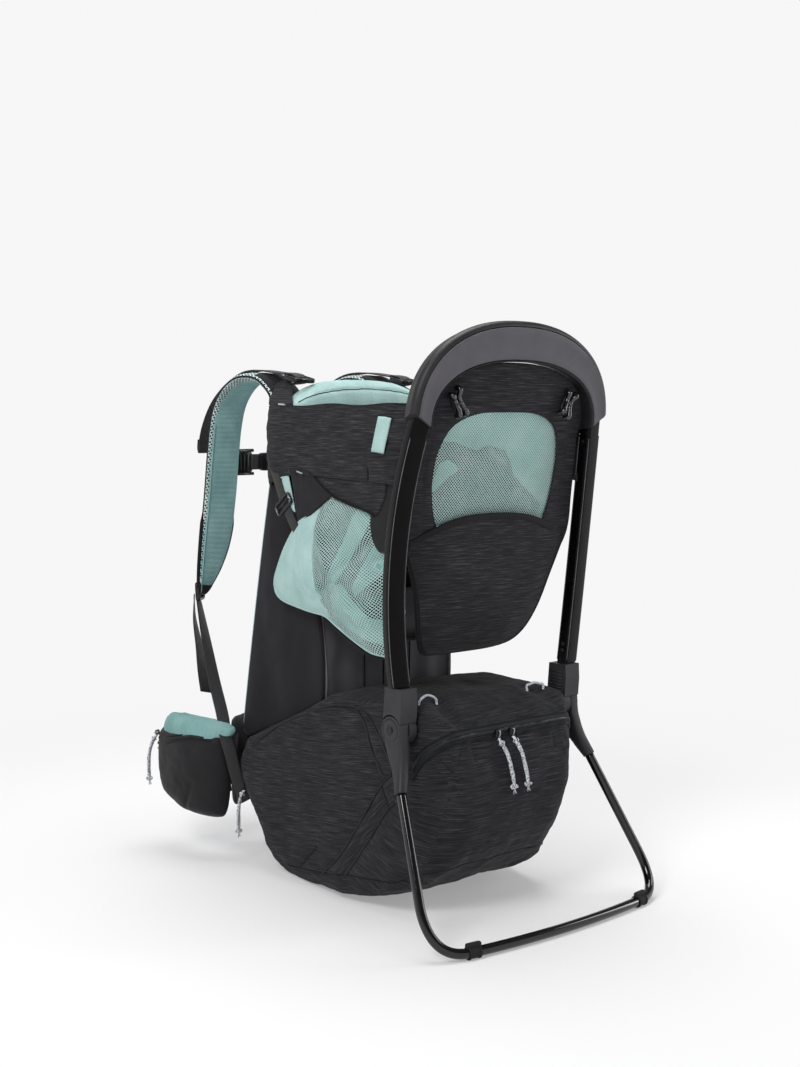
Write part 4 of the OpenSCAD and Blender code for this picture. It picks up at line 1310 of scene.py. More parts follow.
for label, sign in (("left", -1), ("right", 1)):
    flip = np.array([-sign, 1, 1])
    rows = np.linspace(0, 1, 44)
    grid = np.empty((44, 120, 3))
    for i, v in enumerate(rows):
        top = 689 + 1.4 * np.sin(plan[:, 1] / 23) * np.clip(plan[:, 1] / 60, 0, 1)
        low = np.interp(plan[:, 1], (0, 60, 100, 230, 262, 300, 345, 364),
                        (584, 588, 589, 593, 595, 590, 578, 572))
        z = low + (top - low) * v
        outward = np.stack([np.gradient(plan[:, 1]), -np.gradient(plan[:, 0])], 1)
        outward = unit(outward) * -1
        puff = 3.4 * math.sin(math.pi * min(v * 1.04, 1)) ** 0.6
        grid[i, :, 0] = plan[:, 0] + outward[:, 0] * puff
        grid[i, :, 1] = plan[:, 1] + outward[:, 1] * puff
        grid[i, :, 2] = z
    wave = value_noise(grid.reshape(-1, 3), (0.02, 0.007, 0.028), 4.0).reshape(44, 120)
    fine = value_noise(grid.reshape(-1, 3), (0.05, 0.02, 0.07), 8.0).reshape(44, 120)
    soft = np.sin(np.pi * rows)[:, None] ** 0.5
    grid[..., 0] -= (wave * 3.6 + fine * 1.2) * soft
    grid *= flip
    spots = np.stack([np.broadcast_to(np.concatenate([[0],
            np.cumsum(np.linalg.norm(np.diff(plan, axis=0), axis=1))]), (44, 120)),
                      grid[..., 2]], -1)
    main = cloth_grid("side_cloth_" + label, grid, 3.0 * (1 if sign > 0 else -1), HEATHER, "carrier",
                      ["side_panel_" + label], spots)
    upright = [np.array([side_x(88) - 3.4, 88, z]) * flip for z in np.linspace(628, 590, 12)]
    press(main, [upright], 2.0, 3.5)
    tube("side_upright_seam_" + label, np.array(upright) + np.array([sign * 0.2, 0, 0]), 0.6, BINDING,
         "carrier", sides=8)
    top_path = resample(grid[-1], 100)
    tube("side_top_binding_" + label, top_path, 2.0, BINDING, "carrier", sides=10,
         up=(0, 0, 1))
    low_path = resample(grid[0][8:], 100)
    tube("side_low_seam_" + label, low_path, 1.3, BINDING, "carrier", sides=8, up=(0, 0, 1))

    main_tree = surface_tree(main)

    def side_out(a, b):
        """How far the side's cloth stands from the middle at a depth and height."""
        out = -side_x(a)
        for k in np.ndindex(out.shape):
            d, z = a[k] * 0.001 + depth_zero, b[k] * 0.001
            spot = main_tree.ray_cast(Vector((sign * 0.4, d, z)), Vector((-sign, 0, 0)), 0.3)[0]
            if spot is not None:
                out[k] = max(out[k], abs(spot.x) * 1000)
        return out

    def on_side(shift, puff=2.0):
        return lambda a, b, r: (sign * (side_out(a, b) + shift + puff * (1 - r ** 2)), a, b)

    lower = np.array([(52, 594), (90, 593), (150, 594), (205, 596), (236, 598), (222, 590), (196, 574),
                      (172, 564), (150, 559), (120, 553), (92, 548), (78, 543), (66, 552), (56, 570)], float)
    patch("side_flap_low_" + label, lower, (130, 577), on_side(-1.0, 2.4), 2.0 * (1 if sign < 0 else -1),
          HEATHER, "carrier", "heather_fabric", amount=1.4, scale=(0.02, 0.014, 0.03), seed=6, rings=12,
          count=120)
    edge = np.array([(78, 543), (92, 548), (120, 553), (150, 559), (172, 564), (196, 574), (222, 590)], float)
    tube("side_flap_edge_" + label,
         [(sign * (side_out(np.array([a]), np.array([b]))[0] + 0.6), a, b) for a, b in spline(edge, 60)], 1.6,
         BINDING, "carrier", sides=8)
    flap = np.array([(262, 602), (284, 600), (279, 582), (270, 550), (262, 516), (248, 526), (215, 545),
                     (178, 566), (205, 580), (228, 598)], float)
    patch("side_flap_plain_" + label, flap, (246, 570), on_side(0.8, 1.0), 2.0 * (1 if sign < 0 else -1),
          PLAIN, "carrier", "plain_fabric", amount=0.8, seed=8, rings=10, count=100)
    triangle = np.array([(306, 588), (288, 590), (276, 556), (270, 538), (288, 546), (298, 556)], float)
    patch("side_teal_corner_" + label, triangle, (287, 568), on_side(0.2, 1.5), 1.8 * (1 if sign < 0 else -1),
          TEAL, "carrier", "teal_fabric", rings=8, count=60)
    web = [np.array([side_x(a) - 1.5 - k, a, b]) * flip for a, b, k in
           ((331, 606, 0), (316, 584, 2), (300, 560, 3), (284, 538, 3), (268, 518, 2), (256, 505, -2))]
    strap("side_strap_" + label, spline(web, 40), 17, 1.8, WEBBING, "carrier",
          np.array([0, 0.83, -0.55]))
    catch_mid = np.array([side_x(293) - 6.5, 293, 549]) * flip
    frame_path = [catch_mid + np.array([0, u * 0.80 + v * 0.6, u * -0.6 + v * 0.80])
                  for u, v in rounded(37, 16, 4, 4)]
    tube("side_triglide_" + label, frame_path, 2.1, HARD, "carrier", closed=True, sides=10,
         up=(1, 0, 0))
    bar_path = [catch_mid + np.array([0, u * 0.80, u * -0.6]) for u in (-17, 17)]
    tube("side_triglide_bar_" + label, bar_path, 1.4, HARD, "carrier", sides=10,
         up=(1, 0, 0))
    # Grey metal strips at the black triglide's ends: painted highlights.
    for k, u in enumerate((-18.6, 18.6)):
        glint = [catch_mid + np.array([0, u * 0.80 + v * 0.6, u * -0.6 + v * 0.80]) +
                 np.array([sign * 1.8, 0, 0]) for v in (-6.5, 6.5)]
        tube("side_triglide_edge_%s_%d" % (label, k), glint, 0.8, ALLOY, "carrier", sides=8,
             up=(1, 0, 0))
    tab_outline = np.array([(31, 672), (44, 674), (58, 674.5), (66, 652), (74, 628), (60, 627), (46, 625.5),
                            (38, 650)], float)
    cushion("teal_tab_" + label, tab_outline, (52, 651),
                      lambda a, b, lift: (sign * (8.8 - side_x(a) + 1.9 * lift), a, b), TEAL, "carrier",
                      rings=8, count=80)
    tab_run = [np.array([side_x(298) - 5.5, a, 691.5 + (a - 298) * 0.05]) * flip for a in (291, 306)]
    tube("tab_tape_" + label, tab_run, 1.3, PIPING, "carrier", sides=8)
    flap_run = [np.array([side_x(255) - 5.2, a, 597 - (258 - a) * 0.22]) * flip for a in (246, 259)]
    tube("flap_tape_" + label, flap_run, 1.1, PIPING, "carrier", sides=8)

    wing = spline([(178, 568), (150, 562), (112, 555), (82, 548), (64, 540), (54, 500), (50, 450), (50, 400),
                   (52, 358), (62, 352), (90, 355), (120, 364), (150, 375), (178, 387), (202, 397),
                   (238, 400), (270, 404), (300, 409), (318, 418), (323, 434), (318, 450), (298, 485),
                   (272, 516), (258, 527), (238, 536), (216, 546), (196, 559)], 170, True)

    def tucked(points):
        """The far wing hangs a little higher at its front."""
        points = np.array(points, float)
        low = np.clip((120 - points[:, 0]) / 40, 0, 1) * np.clip((420 - points[:, 1]) / 40, 0, 1)
        return points + (low[:, None] * np.array([18, 30]) if sign > 0 else 0)

    wing = tucked(wing)

    def wing_place(a, b, r):
        behind = np.clip((a - wing_seam_at(b)) / 30, 0, 1)
        belly = (1 - r ** 2.3) * (13 + 9 * np.exp(-((a - 170) / 70) ** 2) + 5 * behind)
        fan = np.arctan2(b - 395, np.maximum(a - 40, 1) + 60)
        fold = 4.2 * np.sin(fan * 17 + 0.9 * np.sin(b / 34)) * np.clip((wing_seam_at(b) - a) / 30, 0, 1)
        ridge = 4.5 * np.exp(-((a * 0.75 - (b - 470) * 0.5 - 122) / 7) ** 2)
        ridge = ridge - 5 * np.exp(-((a * 0.6 + (b - 470) * 0.8 - 85) / 7) ** 2)
        seam = -3.4 * np.exp(-((a - wing_seam_at(b)) / 3.5) ** 2)
        turned_in = 1 - np.clip((a - 52) / 56, 0, 1)
        turned_in = turned_in ** 2 * (3 - 2 * turned_in)
        panel_side = np.interp(b, (345, 363, 385, 430, 476, 512, 560), (104, 106, 110, 118, 130, 141, 144))
        if sign < 0:
            panel_side = np.maximum(panel_side, 134)
        pulled = -2.5 * np.exp(-((a - wing_seam_at(b) + 14) / 6) ** 2) * np.clip((470 - b) / 60, 0, 1)
        out = 146 + belly + (fold + ridge * (1 - behind) + pulled) * (1 - r ** 4) + seam * (1 - r ** 8) * 0.8
        return sign * (out * (1 - turned_in) + (panel_side - 4 + 0.4 * fold) * turned_in), a, b

    def wing_seam_at(b):
        return np.interp(b, (396, 402, 418, 453, 486, 520, 540, 556),
                         (190, 184, 195, 203, 208, 209, 211, 204))

    wing_cloth = patch("seat_net_" + label, wing, (180, 470), wing_place, 0.35 * (1 if sign < 0 else -1),
                       [NET, TEAL], "carrier", "teal_mesh", ["seat_wing_" + label], rings=44, count=260,
                       amount=2.2, scale=(0.02, 0.022, 0.022), seed=14 + sign, turn=0.2)
    for polygon in wing_cloth.data.polygons:
        d, z = (polygon.center.y - depth_zero) * 1000, polygon.center.z * 1000
        if d > wing_seam_at(z):
            polygon.material_index = 1
    zs = np.linspace(399, 552, 50)
    wing_tree = surface_tree(wing_cloth)
    line, ways = seam_line(wing_tree, [np.array([-165, wing_seam_at(z), z]) * flip for z in zs], 60, 0.2)
    tube("seat_net_seam_" + label, line, 1.1, TEAL, "carrier", sides=8)
    rim_path = rim_of(wing, wing_place, 240)
    tube("seat_net_rim_" + label, rim_path, 1.3, TEAL, "carrier", closed=True, sides=10,
         up=(1, 0, 0))
    hem_start = (56, 350) if sign < 0 else (96, 354)
    hem_edge = spline([hem_start, (104, 357), (120, 361), (150, 372), (178, 384), (198, 394)], 70)
    hem_path = [(float(wing_place(np.array(a), np.array(b), 1.0)[0]), a, b - 2.0)
                for a, b in tucked(hem_edge)]
    tube("seat_net_binding_" + label, hem_path, 1.7, BINDING, "carrier", sides=10,
         up=(1, 0, 0), scale=np.interp(np.linspace(0, 1, 70), (0, 0.6, 1), (1.4, 1, 0.3))[:, None])
    patch("seat_inner_" + label, tucked([(66, 536), (112, 552), (170, 562), (255, 520), (300, 450),
                                         (300, 412), (214, 400), (150, 378), (90, 360), (62, 360)]),
          (190, 470), lambda a, b, r: (wing_place(a, b, 1.0)[0] - sign * 7, a, b), 1.6, SMOOTH, "carrier",
          "black_fabric", rings=14, count=110, amount=1.6, seed=2)
    veils = (((64, 402), (66, 368), (110, 372), (156, 386), (184, 400), (192, 424), (186, 440), (168, 446),
              (142, 424), (104, 402)),
             ((96, 545), (122, 552), (140, 540), (164, 500), (190, 468), (202, 446), (192, 432), (150, 474),
              (118, 512)),
             ((62, 528), (72, 538), (92, 506), (122, 468), (142, 442), (134, 430), (102, 450), (68, 476)))
    # Linings behind the seat net, in the darkened teal: painted shade.
    for k, veil in enumerate(veils):
        patch("seat_net_lining_%s_%d" % (label, k), tucked(veil), tucked(veil).mean(axis=0),
              lambda a, b, r: (wing_place(a, b, 1.0)[0] - sign * (3 - 1.2 * k - 4 * (1 - r ** 3)), a, b),
              0.8 * (1 if sign < 0 else -1), SHADED_TEAL, "carrier", "teal_mesh", rings=12, count=110, amount=1.5,
              seed=51 + k)


# Pads of the cockpit, and the seat
def beam(name, sections, material, body, replaces, map_rule, voxel=5.0, pressure=4.0, cap=8.0,
         pinned=None):
    """A padded bar: closed outlines joined from one side to the other, then blown up as cloth."""
    verts = [p for section in sections for p in section]
    obj = make(name, verts, joined(len(sections), len(sections[0])), material, body, replaces)
    inflate(obj, voxel, pressure, cap, pinned)
    map_cloth(obj, map_rule)
    return obj


def near_line(lines, width):
    """Weights near lines, for holding a seam still while the pads beside it fill."""
    spots = np.concatenate([place_points(resample(line, 60)) for line in lines])

    def weigh(points):
        out = np.zeros(len(points))
        for spot in spots:
            out = np.maximum(out, np.exp(-((points - spot) ** 2).sum(1) / (width * 0.001) ** 2))
        return np.where(out > 0.25, out, 0)
    return weigh


drool = np.array([(286, 664), (284, 690), (286, 702), (292, 712), (302, 717.5), (313, 719.5), (324, 717),
                  (332, 708), (335, 690), (333, 676), (318, 664)], float)
drool = resample(np.vstack([drool, drool[:1]]), 40, True)
sections = []
for x in np.linspace(-139, 139, 44):
    reach = abs(x)
    top = np.interp(reach, (0, 40, 68, 92, 115, 139), (730, 729, 726, 719, 707, 690))
    shift = np.interp(reach, (0, 100, 139), (0, 0, -6))
    shrink = np.interp(reach, (0, 95, 120, 139), (1, 1, 0.9, 0.5))
    mid_d = 309
    sec = [(x, mid_d + (d - mid_d) * shrink + shift, 664 + (z - 664) * (top - 664) / 55.5) for d, z in drool]
    sections.append(sec)
crease = [(x, 287.0, 716.5 - 0.0010 * x * x) for x in np.linspace(-128, 128, 30)]
drool_obj = beam("drool_cushion", sections, TEAL, "carrier", ["drool_pad"], box_map, 4.5, 4.0,
                 7.0, near_line([crease], 4.0))
press(drool_obj, [crease], 1.6, 3.0)
tree = surface_tree(drool_obj)
line, ways = seam_line(tree, crease, 80, 0.1)
tube("drool_seam", line, 0.7, BACK_MESH, "carrier", sides=8)
for label, sign in (("left", -1), ("right", 1)):
    corner = np.array([(-98, 348, 733), (-113, 322, 716), (-126, 303, 703), (-137, 286, 690),
                       (-139, 320, 689), (-136, 346, 690), (-128, 356, 702), (-112, 360, 722)],
                       float) * np.array([-sign, 1, 1])
    middle = corner.mean(0)
    rings = [middle + (resample(np.vstack([corner, corner[:1]]), 60, True) - middle) * r
             for r in (0.01, 0.35, 0.65, 0.88, 1)]
    g = np.array(rings)
    g[..., 0] -= -sign * 2.0 * (1 - np.array([0.01, 0.35, 0.65, 0.88, 1]) ** 2)[:, None]
    cloth_grid("shoulder_corner_" + label, g, 2.0, HEATHER, "carrier", (), g[..., 1:3],
               wrap=True)

back_sections = []
back_profile = resample(np.array([(318, 689), (333, 689), (357, 581), (372, 500), (318, 402), (303, 402),
                                  (352, 500), (342, 575), (318, 689)], float), 46, True)
for x in np.linspace(-112, 112, 30):
    back_sections.append([(x, d, z) for d, z in back_profile])
beam("seat_back_cushion", back_sections, PLAIN, "carrier", ["seat_back"], box_map, 7.0, 3.0,
     5.0)
base_profile = resample(np.array([(88, 366), (160, 374), (214, 401), (302, 401), (302, 413), (210, 414),
                                  (158, 388), (88, 380), (88, 366)], float), 46, True)
beam("seat_base_cushion", [[(x, d, z) for d, z in base_profile] for x in np.linspace(-124, 124, 30)], PLAIN,
     "carrier", ["seat_base"], box_map, 7.0, 3.0, 5.0)
for label, sign in (("left", -1), ("right", 1)):
    strap("child_strap_" + label, spline([(sign * 42, 316, 655), (sign * 42, 330, 590), (sign * 42, 322, 520),
                                          (sign * 34, 292, 460),
                                    (sign * 24, 272, 432)], 50), 26, 4, BINDING, "carrier",
                                    (1, 0, 0),
          ["child_harness"] if sign < 0 else [])
    strap("child_band_" + label, [(sign * 43, 257, 431), (sign * 90, 257, 431), (sign * 140, 257, 431)], 24,
          3, WEBBING, "carrier", (0, 0, 1))
cushion("child_belly_pad", np.array([(-44, 416), (44, 416), (44, 446), (-44, 446)], float), (0, 431),
        lambda a, b, lift: (a, 265 - 9 * lift, b), PLAIN, "carrier", rings=8, count=80)


# ---------------------------------------------------------------- storage bag

def outer_shell(node):
    """The outside of a hollow CAD node, as a new mesh in metres."""
    source = bpy.data.objects[node].data
    bm = bmesh.new()
    bm.from_mesh(source)
    bmesh.ops.remove_doubles(bm, verts=bm.verts, dist=1e-6)
    left = set(bm.verts)
    groups = []
    while left:
        stack, group = [left.pop()], []
        while stack:
            vert = stack.pop()
            group.append(vert)
            for edge in vert.link_edges:
                other_vert = edge.other_vert(vert)
                if other_vert in left:
                    left.remove(other_vert)
                    stack.append(other_vert)
        groups.append(group)
    spans = [max(v.co.x for v in g) - min(v.co.x for v in g) for g in groups]
    widest = groups[spans.index(max(spans))]
    extra = [v for g in groups if g is not widest for v in g]
    bmesh.ops.delete(bm, geom=extra, context="VERTS")
    mesh = bpy.data.meshes.new(node + "_cloth")
    bm.to_mesh(mesh)
    bm.free()
    return mesh


bag = bpy.data.objects.new("bag_cloth", outer_shell("lower_bag"))
scene.collection.objects.link(bag)
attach(bag, "carrier")
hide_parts("lower_bag", "bag_zip")
bag.data.materials.clear()
bag.data.materials.append(HEATHER)
bag.data.materials.append(PLAIN)
remesh = bag.modifiers.new("remesh", "REMESH")
remesh.mode = "VOXEL"
remesh.voxel_size = 0.006
bake(bag)


def lines_both(points):
    return [list(points), mirrored(points)]


welt = [(-150, 379, 183), (-150, 333, 213), (-150, 289, 237), (-148, 241, 257), (-148, 210, 264),
        (-147, 171, 271), (-145, 137, 273), (-143, 123, 264), (-142, 114, 246), (-141, 103, 219),
        (-140, 89, 199), (-139, 78, 188)]
band_out = [(-148, 214, 266), (-146, 168, 276), (-144, 131, 277), (-142, 111, 268), (-141, 98, 256),
            (-140, 85, 236), (-138, 73, 216), (-138, 67, 195)]
slant = [(-138, 68, 195), (-140, 86, 178), (-142, 109, 145), (-145, 138, 105), (-147, 169, 65),
         (-147, 205, 30)]
slant_low = [(-137, 61, 158), (-139, 78, 143), (-141, 103, 108), (-144, 132, 69), (-146, 156, 39)]
small = [(-148, 225, 63), (-149, 253, 35), (-150, 280, 12)]
hem = [(-150, 300, 18), (-147, 205, 30), (-146, 156, 39), (-141, 104, 43), (-133, 55, 50), (-105, 10, 62),
       (0, 0, 66)]
small_turn = [(-139, 84, 178), (-139, 78, 163), (-138, 73, 149)]
gusset_foot = [(-146, 378, 212), (-144, 318, 244), (-140, 278, 262), (-136, 235, 276)]
zip_up = [(-137, 24, 221), (-134, 5, 241), (-118, -14, 257), (-96, -23, 264), (-43, -23, 265), (6, -23, 265)]
zip_low = [(-137, 24, 196), (-136, 10, 216), (-128, -7, 233), (-110, -23, 247), (-78, -25, 249),
           (-38, -25, 248), (0, -25, 248)]
pleat_lines = [[(-122, -14, 228), (-114, -22, 214), (-107, -28, 201), (-105, -29, 186)],
               [(-73, -27, 238), (-74, -32, 224)], [(-96, -28, 236), (-99, -30, 227), (-101, -32, 216)]]


def across_front(left_half):
    return list(left_half) + mirrored(left_half[:-1])[::-1]


bag_lines = {}
for key, points in (("welt", welt), ("band", band_out), ("slant", slant), ("slant_low", slant_low),
                    ("small", small), ("small_turn", small_turn), ("gusset_foot", gusset_foot)):
    bag_lines[key + "_left"], bag_lines[key + "_right"] = lines_both(points)
bag_lines["hem"] = across_front(hem)
bag_lines["zip_up"] = across_front(zip_up)
bag_lines["zip_low"] = across_front(zip_low)
held_lines = list(bag_lines.values())


def bag_hold(points):
    weights = near_line(held_lines, 5.0)(points)
    low = np.clip((0.010 - points[:, 2]) / 0.006, 0, 1)
    return np.maximum(weights, low)


inflate(bag, 6.5, 3.2, 7.0, bag_hold)
mesh = bag.data
co, no = vectors(mesh.vertices, "co"), vectors(mesh.vertices, "normal")
mm = in_mm(co)
broad = value_noise(mm, (0.008, 0.007, 0.011), 21, 2)
creases = value_noise(mm, (0.022, 0.012, 0.030), 22, 3)
low_side = np.clip((150 - mm[:, 2]) / 120, 0, 1)
lift = (broad * 2.6 + creases * (1.4 + 1.6 * low_side)) * 0.001
ripple = 0.0016 * np.sin((mm[:, 2] * 0.8 + mm[:, 1] * 0.35) / 11 + 2 * broad)
lift += ripple * low_side * (np.abs(no[:, 0]) > 0.6)
pucker = np.zeros(len(co))
for spot in resample(bag_lines["zip_low"], 150):
    gap = mm - spot
    below = (gap[:, 2] < 2) & (gap[:, 2] > -55)
    pucker = np.maximum(pucker, np.where(below, np.exp(-(gap[:, 0] ** 2) / 30 - np.abs(gap[:, 2]) / 22), 0))
lift += pucker * 0.0016 * np.sin(mm[:, 0] / 4.6 + 1.3 * np.sin(mm[:, 0] / 17)) * (no[:, 1] < -0.3)
co += no * lift[:, None]
co[:, 2] = np.maximum(co[:, 2], 0.0006)
mesh.vertices.foreach_set("co", co.ravel())
mesh.update()
press(bag, [bag_lines[k] for k in bag_lines if not k.startswith("zip")], 2.2, 4.5)
press(bag, pleat_lines + [mirrored(line) for line in pleat_lines], 3.6, 4.0)
smooth = bag.modifiers.new("smooth", "SUBSURF")
smooth.levels = smooth.render_levels = 1
bake(bag)
bag_tree = surface_tree(bag)


def in_band(d, z):
    """Whether a place is on the slanting reinforcement of the bag's side."""
    upper = np.interp(d, [p[1] for p in slant], [p[2] for p in slant])
    lower_edge = np.interp(d, [p[1] for p in slant_low], [p[2] for p in slant_low])
    return (z < upper) & (z > lower_edge) & (d > 62) & (d < 200)


def spun(uv, degrees):
    a = math.radians(degrees)
    return np.stack([uv[:, 0] * math.cos(a) - uv[:, 1] * math.sin(a),
                     uv[:, 0] * math.sin(a) + uv[:, 1] * math.cos(a)], 1)


def bag_map(p, normal, middle):
    """The bag's cloth map, turned on its slanting bands and on its low front corners."""
    uv = box_map(p, normal, middle)
    size = np.abs(normal)
    side = (size[:, 0] >= size[:, 1]) & (size[:, 0] >= size[:, 2])
    turned = side & in_band(middle[:, 1], middle[:, 2])
    uv[:, 1] += np.where(side, uv[:, 0] * 0.10, 0)
    uv = np.where(turned[:, None], spun(uv, 38), uv)
    front_low = side & (middle[:, 1] < 150) & (middle[:, 2] < np.interp(middle[:, 1],
            [p[1] for p in slant_low],
                                                                         [p[2] for p in slant_low]))
    return np.where(front_low[:, None], spun(uv, -24), uv)


map_cloth(bag, bag_map)
for key, points in bag_lines.items():
    if key.startswith("zip"):
        continue
    line, ways = seam_line(bag_tree, points, 110, 0.0)
    if key.startswith(("welt", "slant", "band")):
        tube("bag_" + key, line + ways * 0.5, 1.5, HEATHER, "carrier", sides=8)
        tube("bag_%s_stitch" % key, line - ways * 0.2 + np.array([0, 0.4, -1.6]), 0.8, BINDING, "carrier",
             sides=8)
    else:
        tube("bag_" + key, line + ways * 0.1, 0.9, BINDING, "carrier", sides=8)
# Dark tapering lines sunk into the pressed pleats: painted shade in the folds.
for k, points in enumerate(pleat_lines):
    for label, line_points in (("left", points), ("right", mirrored(points))):
        line, ways = seam_line(bag_tree, line_points, 30, -0.4)
        tube("bag_pleat_shade_%s_%d" % (label, k), line, 0.7, BINDING, "carrier", sides=8,
             scale=np.linspace(1, 0.4, 30)[:, None])

up_path = seam_line(bag_tree, bag_lines["zip_up"], 160, 0)[0]
low_path = seam_line(bag_tree, bag_lines["zip_low"], 160, 0)[0]
rows = []
for v in np.linspace(0, 1, 9):
    proud = 0.9 + 0.9 * math.sin(math.pi * v)
    rows.append(laid_on(bag_tree, up_path * (1 - v) + low_path * v, proud)[0])
rows = np.array(rows)
rows[:, 1:-1] = (rows[:, :-2] + 2 * rows[:, 1:-1] + rows[:, 2:]) / 4
cloth_grid("bag_zip_band", rows, 0.9, BAND, "carrier", (), swap_uv=True)
for label, row in (("up", 0), ("low", -1)):
    tube("bag_zip_edge_" + label, rows[row], 1.3, BINDING, "carrier", sides=8)
zip_path = resample(rows[4] + np.array([0, -0.6, 0.6]), 160)


def zip_chain(name, path, outward, body, width=4.6):
    """A coil zip: a rib each 1.6 mm across a raised spine."""
    path = resample(path, max(int(length_of(path) / 0.8), 8))
    scale = np.stack([np.where(np.arange(len(path)) % 2 == 0, 1.0, 0.72),
                      np.where(np.arange(len(path)) % 2 == 0, 1.0, 0.5)], 1)
    v, f, uv = sweep(path, rounded(width, 1.8, 0.8, 2), outward, scale=scale)
    return make(name, v, f, HARD, body, (), uv)


zip_chain("bag_zip_coil", zip_path, (0, -1, 0.25), "carrier")
crease_path = rows[6] + np.array([0, -0.3, 0])
tube("bag_zip_stitch", resample(crease_path, 160), 0.5, BINDING, "carrier", sides=6)


def zip_slider(name, mid, way, out, body, replaces):
    """A zip slider: a waisted plate and the bridge over it."""
    mid, way, out = np.array(mid, float), unit(way), unit(out)
    wide = np.cross(way, out)
    plate = []
    for lift, grow in ((-0.2, 0.9), (0.4, 1.0), (1.6, 1.0), (2.2, 0.86)):
        plate.append((mid + out * lift, 4.4 * grow, 6.2 * grow, 3.2, wide, way))
    v, f = loft(plate, 28)
    make(name, v, f, HARD, body, replaces)
    bridge = [mid + way * 4.6 + out * 1.6, mid + way * 3.4 + out * 4.0, mid + out * 4.7,
              mid - way * 3.4 + out * 4.0, mid - way * 4.8 + out * 1.6]
    tube(name + "_bridge", spline(bridge, 20), 1.0, STEEL, body, sides=8, up=wide)


for label, x in (("left", -32), ("right", -6)):
    zip_slider("bag_slide_" + label, (x, -28.6, 253), (0.2, 0, 1), (0, -1, 0), "bag_zip_" + label,
               ["bag_slider_" + label])

for label, feet in (("left", ((-118, 31, 289), (-88, 31, 289), 304)),
                    ("right", ((78, 27, 289), (106, 23, 289), 300))):
    a, b, top = feet
    a, b = np.array(a, float), np.array(b, float)
    mid = (a + b) / 2
    loop = spline([a, a + (0, 1, 8), (mid + a) / 2 * [1, 1, 0] + [0, 2, top - 1.5],
                   mid * [1, 1, 0] + [0, 3, top], (mid + b) / 2 * [1, 1, 0] + [0, 2, top - 1.5],
                   b + (0, 1, 8), b], 50)
    tube("gear_loop_" + label, loop, 1.7, LOOP_CORD, "carrier", ["gear_loops"], sides=12)
paint("bag_board", BOARD)
paint("inner_frame", ALLOY)


# ---------------------------------------------------------------- back, gussets and wearer's side

sheet_line = spline([(336, 702), (364, 581), (403, 398), (442, 190), (447, 120)], 60)
for label, sign in (("left", -1), ("right", 1)):
    gusset = np.array([(298, 562), (330, 574), (364, 581), (384, 490), (403, 398), (424, 290), (442, 192),
                       (430, 186), (403, 198), (330, 226), (270, 254), (240, 268), (238, 300), (240, 350),
                       (250, 398), (276, 440), (290, 500)], float)

    def gusset_place(a, b, r):
        belly = 5.0 * (1 - r ** 2.4)
        fold = 1.6 * np.sin((a - 0.25 * b) / 17.0) * (1 - r ** 4)
        return sign * (120.5 + belly + fold), a, b

    patch("gusset_cloth_" + label, gusset, (350, 360), gusset_place, 2.2 * (1 if sign > 0 else -1), PLAIN,
          "carrier", "plain_fabric", ["gusset_" + label], rings=26, count=160, amount=2.4,
          scale=(0.02, 0.009, 0.008), seed=31)
    rear_edge = spline([(364, 581), (384, 490), (403, 398), (424, 290), (442, 192)], 80)
    tube("gusset_piping_" + label, [(sign * 120.8, a + 1.5, b) for a, b in rear_edge], 1.7, TEAL_PAD,
         "carrier", sides=10)
    front_edge = spline([(298, 562), (290, 500), (276, 440), (250, 398), (240, 350), (238, 300), (239, 272)],
                        80)
    tube("gusset_edge_" + label, [(sign * 120.8, a, b) for a, b in front_edge], 1.6, BINDING, "carrier",
         sides=10)

rows = np.linspace(-119, 119, 120)
curtain = np.empty((50, 120, 3))
for i, (d, z) in enumerate(spline([(248, 400), (240, 350), (238, 300), (239, 268)], 50)):
    curtain[i, :, 0] = rows
    curtain[i, :, 1] = d + 2.2 * np.sin(rows / 7.5 + 0.8 * math.sin(z / 21)) + 3.0 * (1 - (rows / 119) ** 2)
    curtain[i, :, 2] = z
cloth_grid("inner_curtain", curtain, 2.0, CURTAIN, "carrier", (),
           np.stack([curtain[..., 0], curtain[..., 2]], -1))
for k, x in enumerate((-117, -42, -9, 9, 42, 117)):
    j = int(np.argmin(np.abs(rows - x)))
    tube("curtain_piping_%d" % k, curtain[:, j] + np.array([0, -1.0, 0]), 0.9,
         GREY_PIPING if abs(x) > 100 else BINDING, "carrier", sides=8)

rows = np.linspace(-113, 113, 34)
grid = np.empty((60, 34, 3))
for i, (d, z) in enumerate(sheet_line):
    grid[i, :, 0] = rows
    grid[i, :, 1] = d + 1.5 * (rows / 113) ** 2
    grid[i, :, 2] = z
cloth_grid("back_sheet_cloth", grid, 3.2, PLAIN, "carrier", ["frame_sheet"],
           np.stack([grid[..., 0], grid[..., 2]], -1))

back_profile = resample(np.array([(366, 573), (403.3, 398), (431, 250), (450, 252), (438, 320), (422, 398),
                                  (406, 480), (391, 560), (378, 574), (366, 573)], float), 52, True)
ribs = []
for z in (520, 460, 400, 340, 290):
    d = np.interp(z, (252, 320, 398, 480, 560), (450, 438, 422, 406, 391))
    ribs.append([(x, d, z - 0.002 * x * x) for x in np.linspace(-92, 92, 12)])
middle_rib = [[(0, np.interp(z, (252, 320, 398, 480, 560), (450, 438, 422, 406, 391)), z)
               for z in np.linspace(260, 560, 16)]]
back_obj = beam("back_cushion", [[(x, d, z) for d, z in back_profile] for x in np.linspace(-98, 98, 26)],
                BACK_MESH, "carrier", ["back_pad"], box_map, 6.0, 4.0, 7.0,
                near_line(ribs + middle_rib, 5.0))
press(back_obj, ribs + middle_rib, 3.0, 5.0)
lumbar_profile = resample(np.array([(438, 222), (444, 190), (450.5, 82), (468, 84), (471, 150), (463, 222),
                                    (450, 232), (438, 222)], float), 40, True)
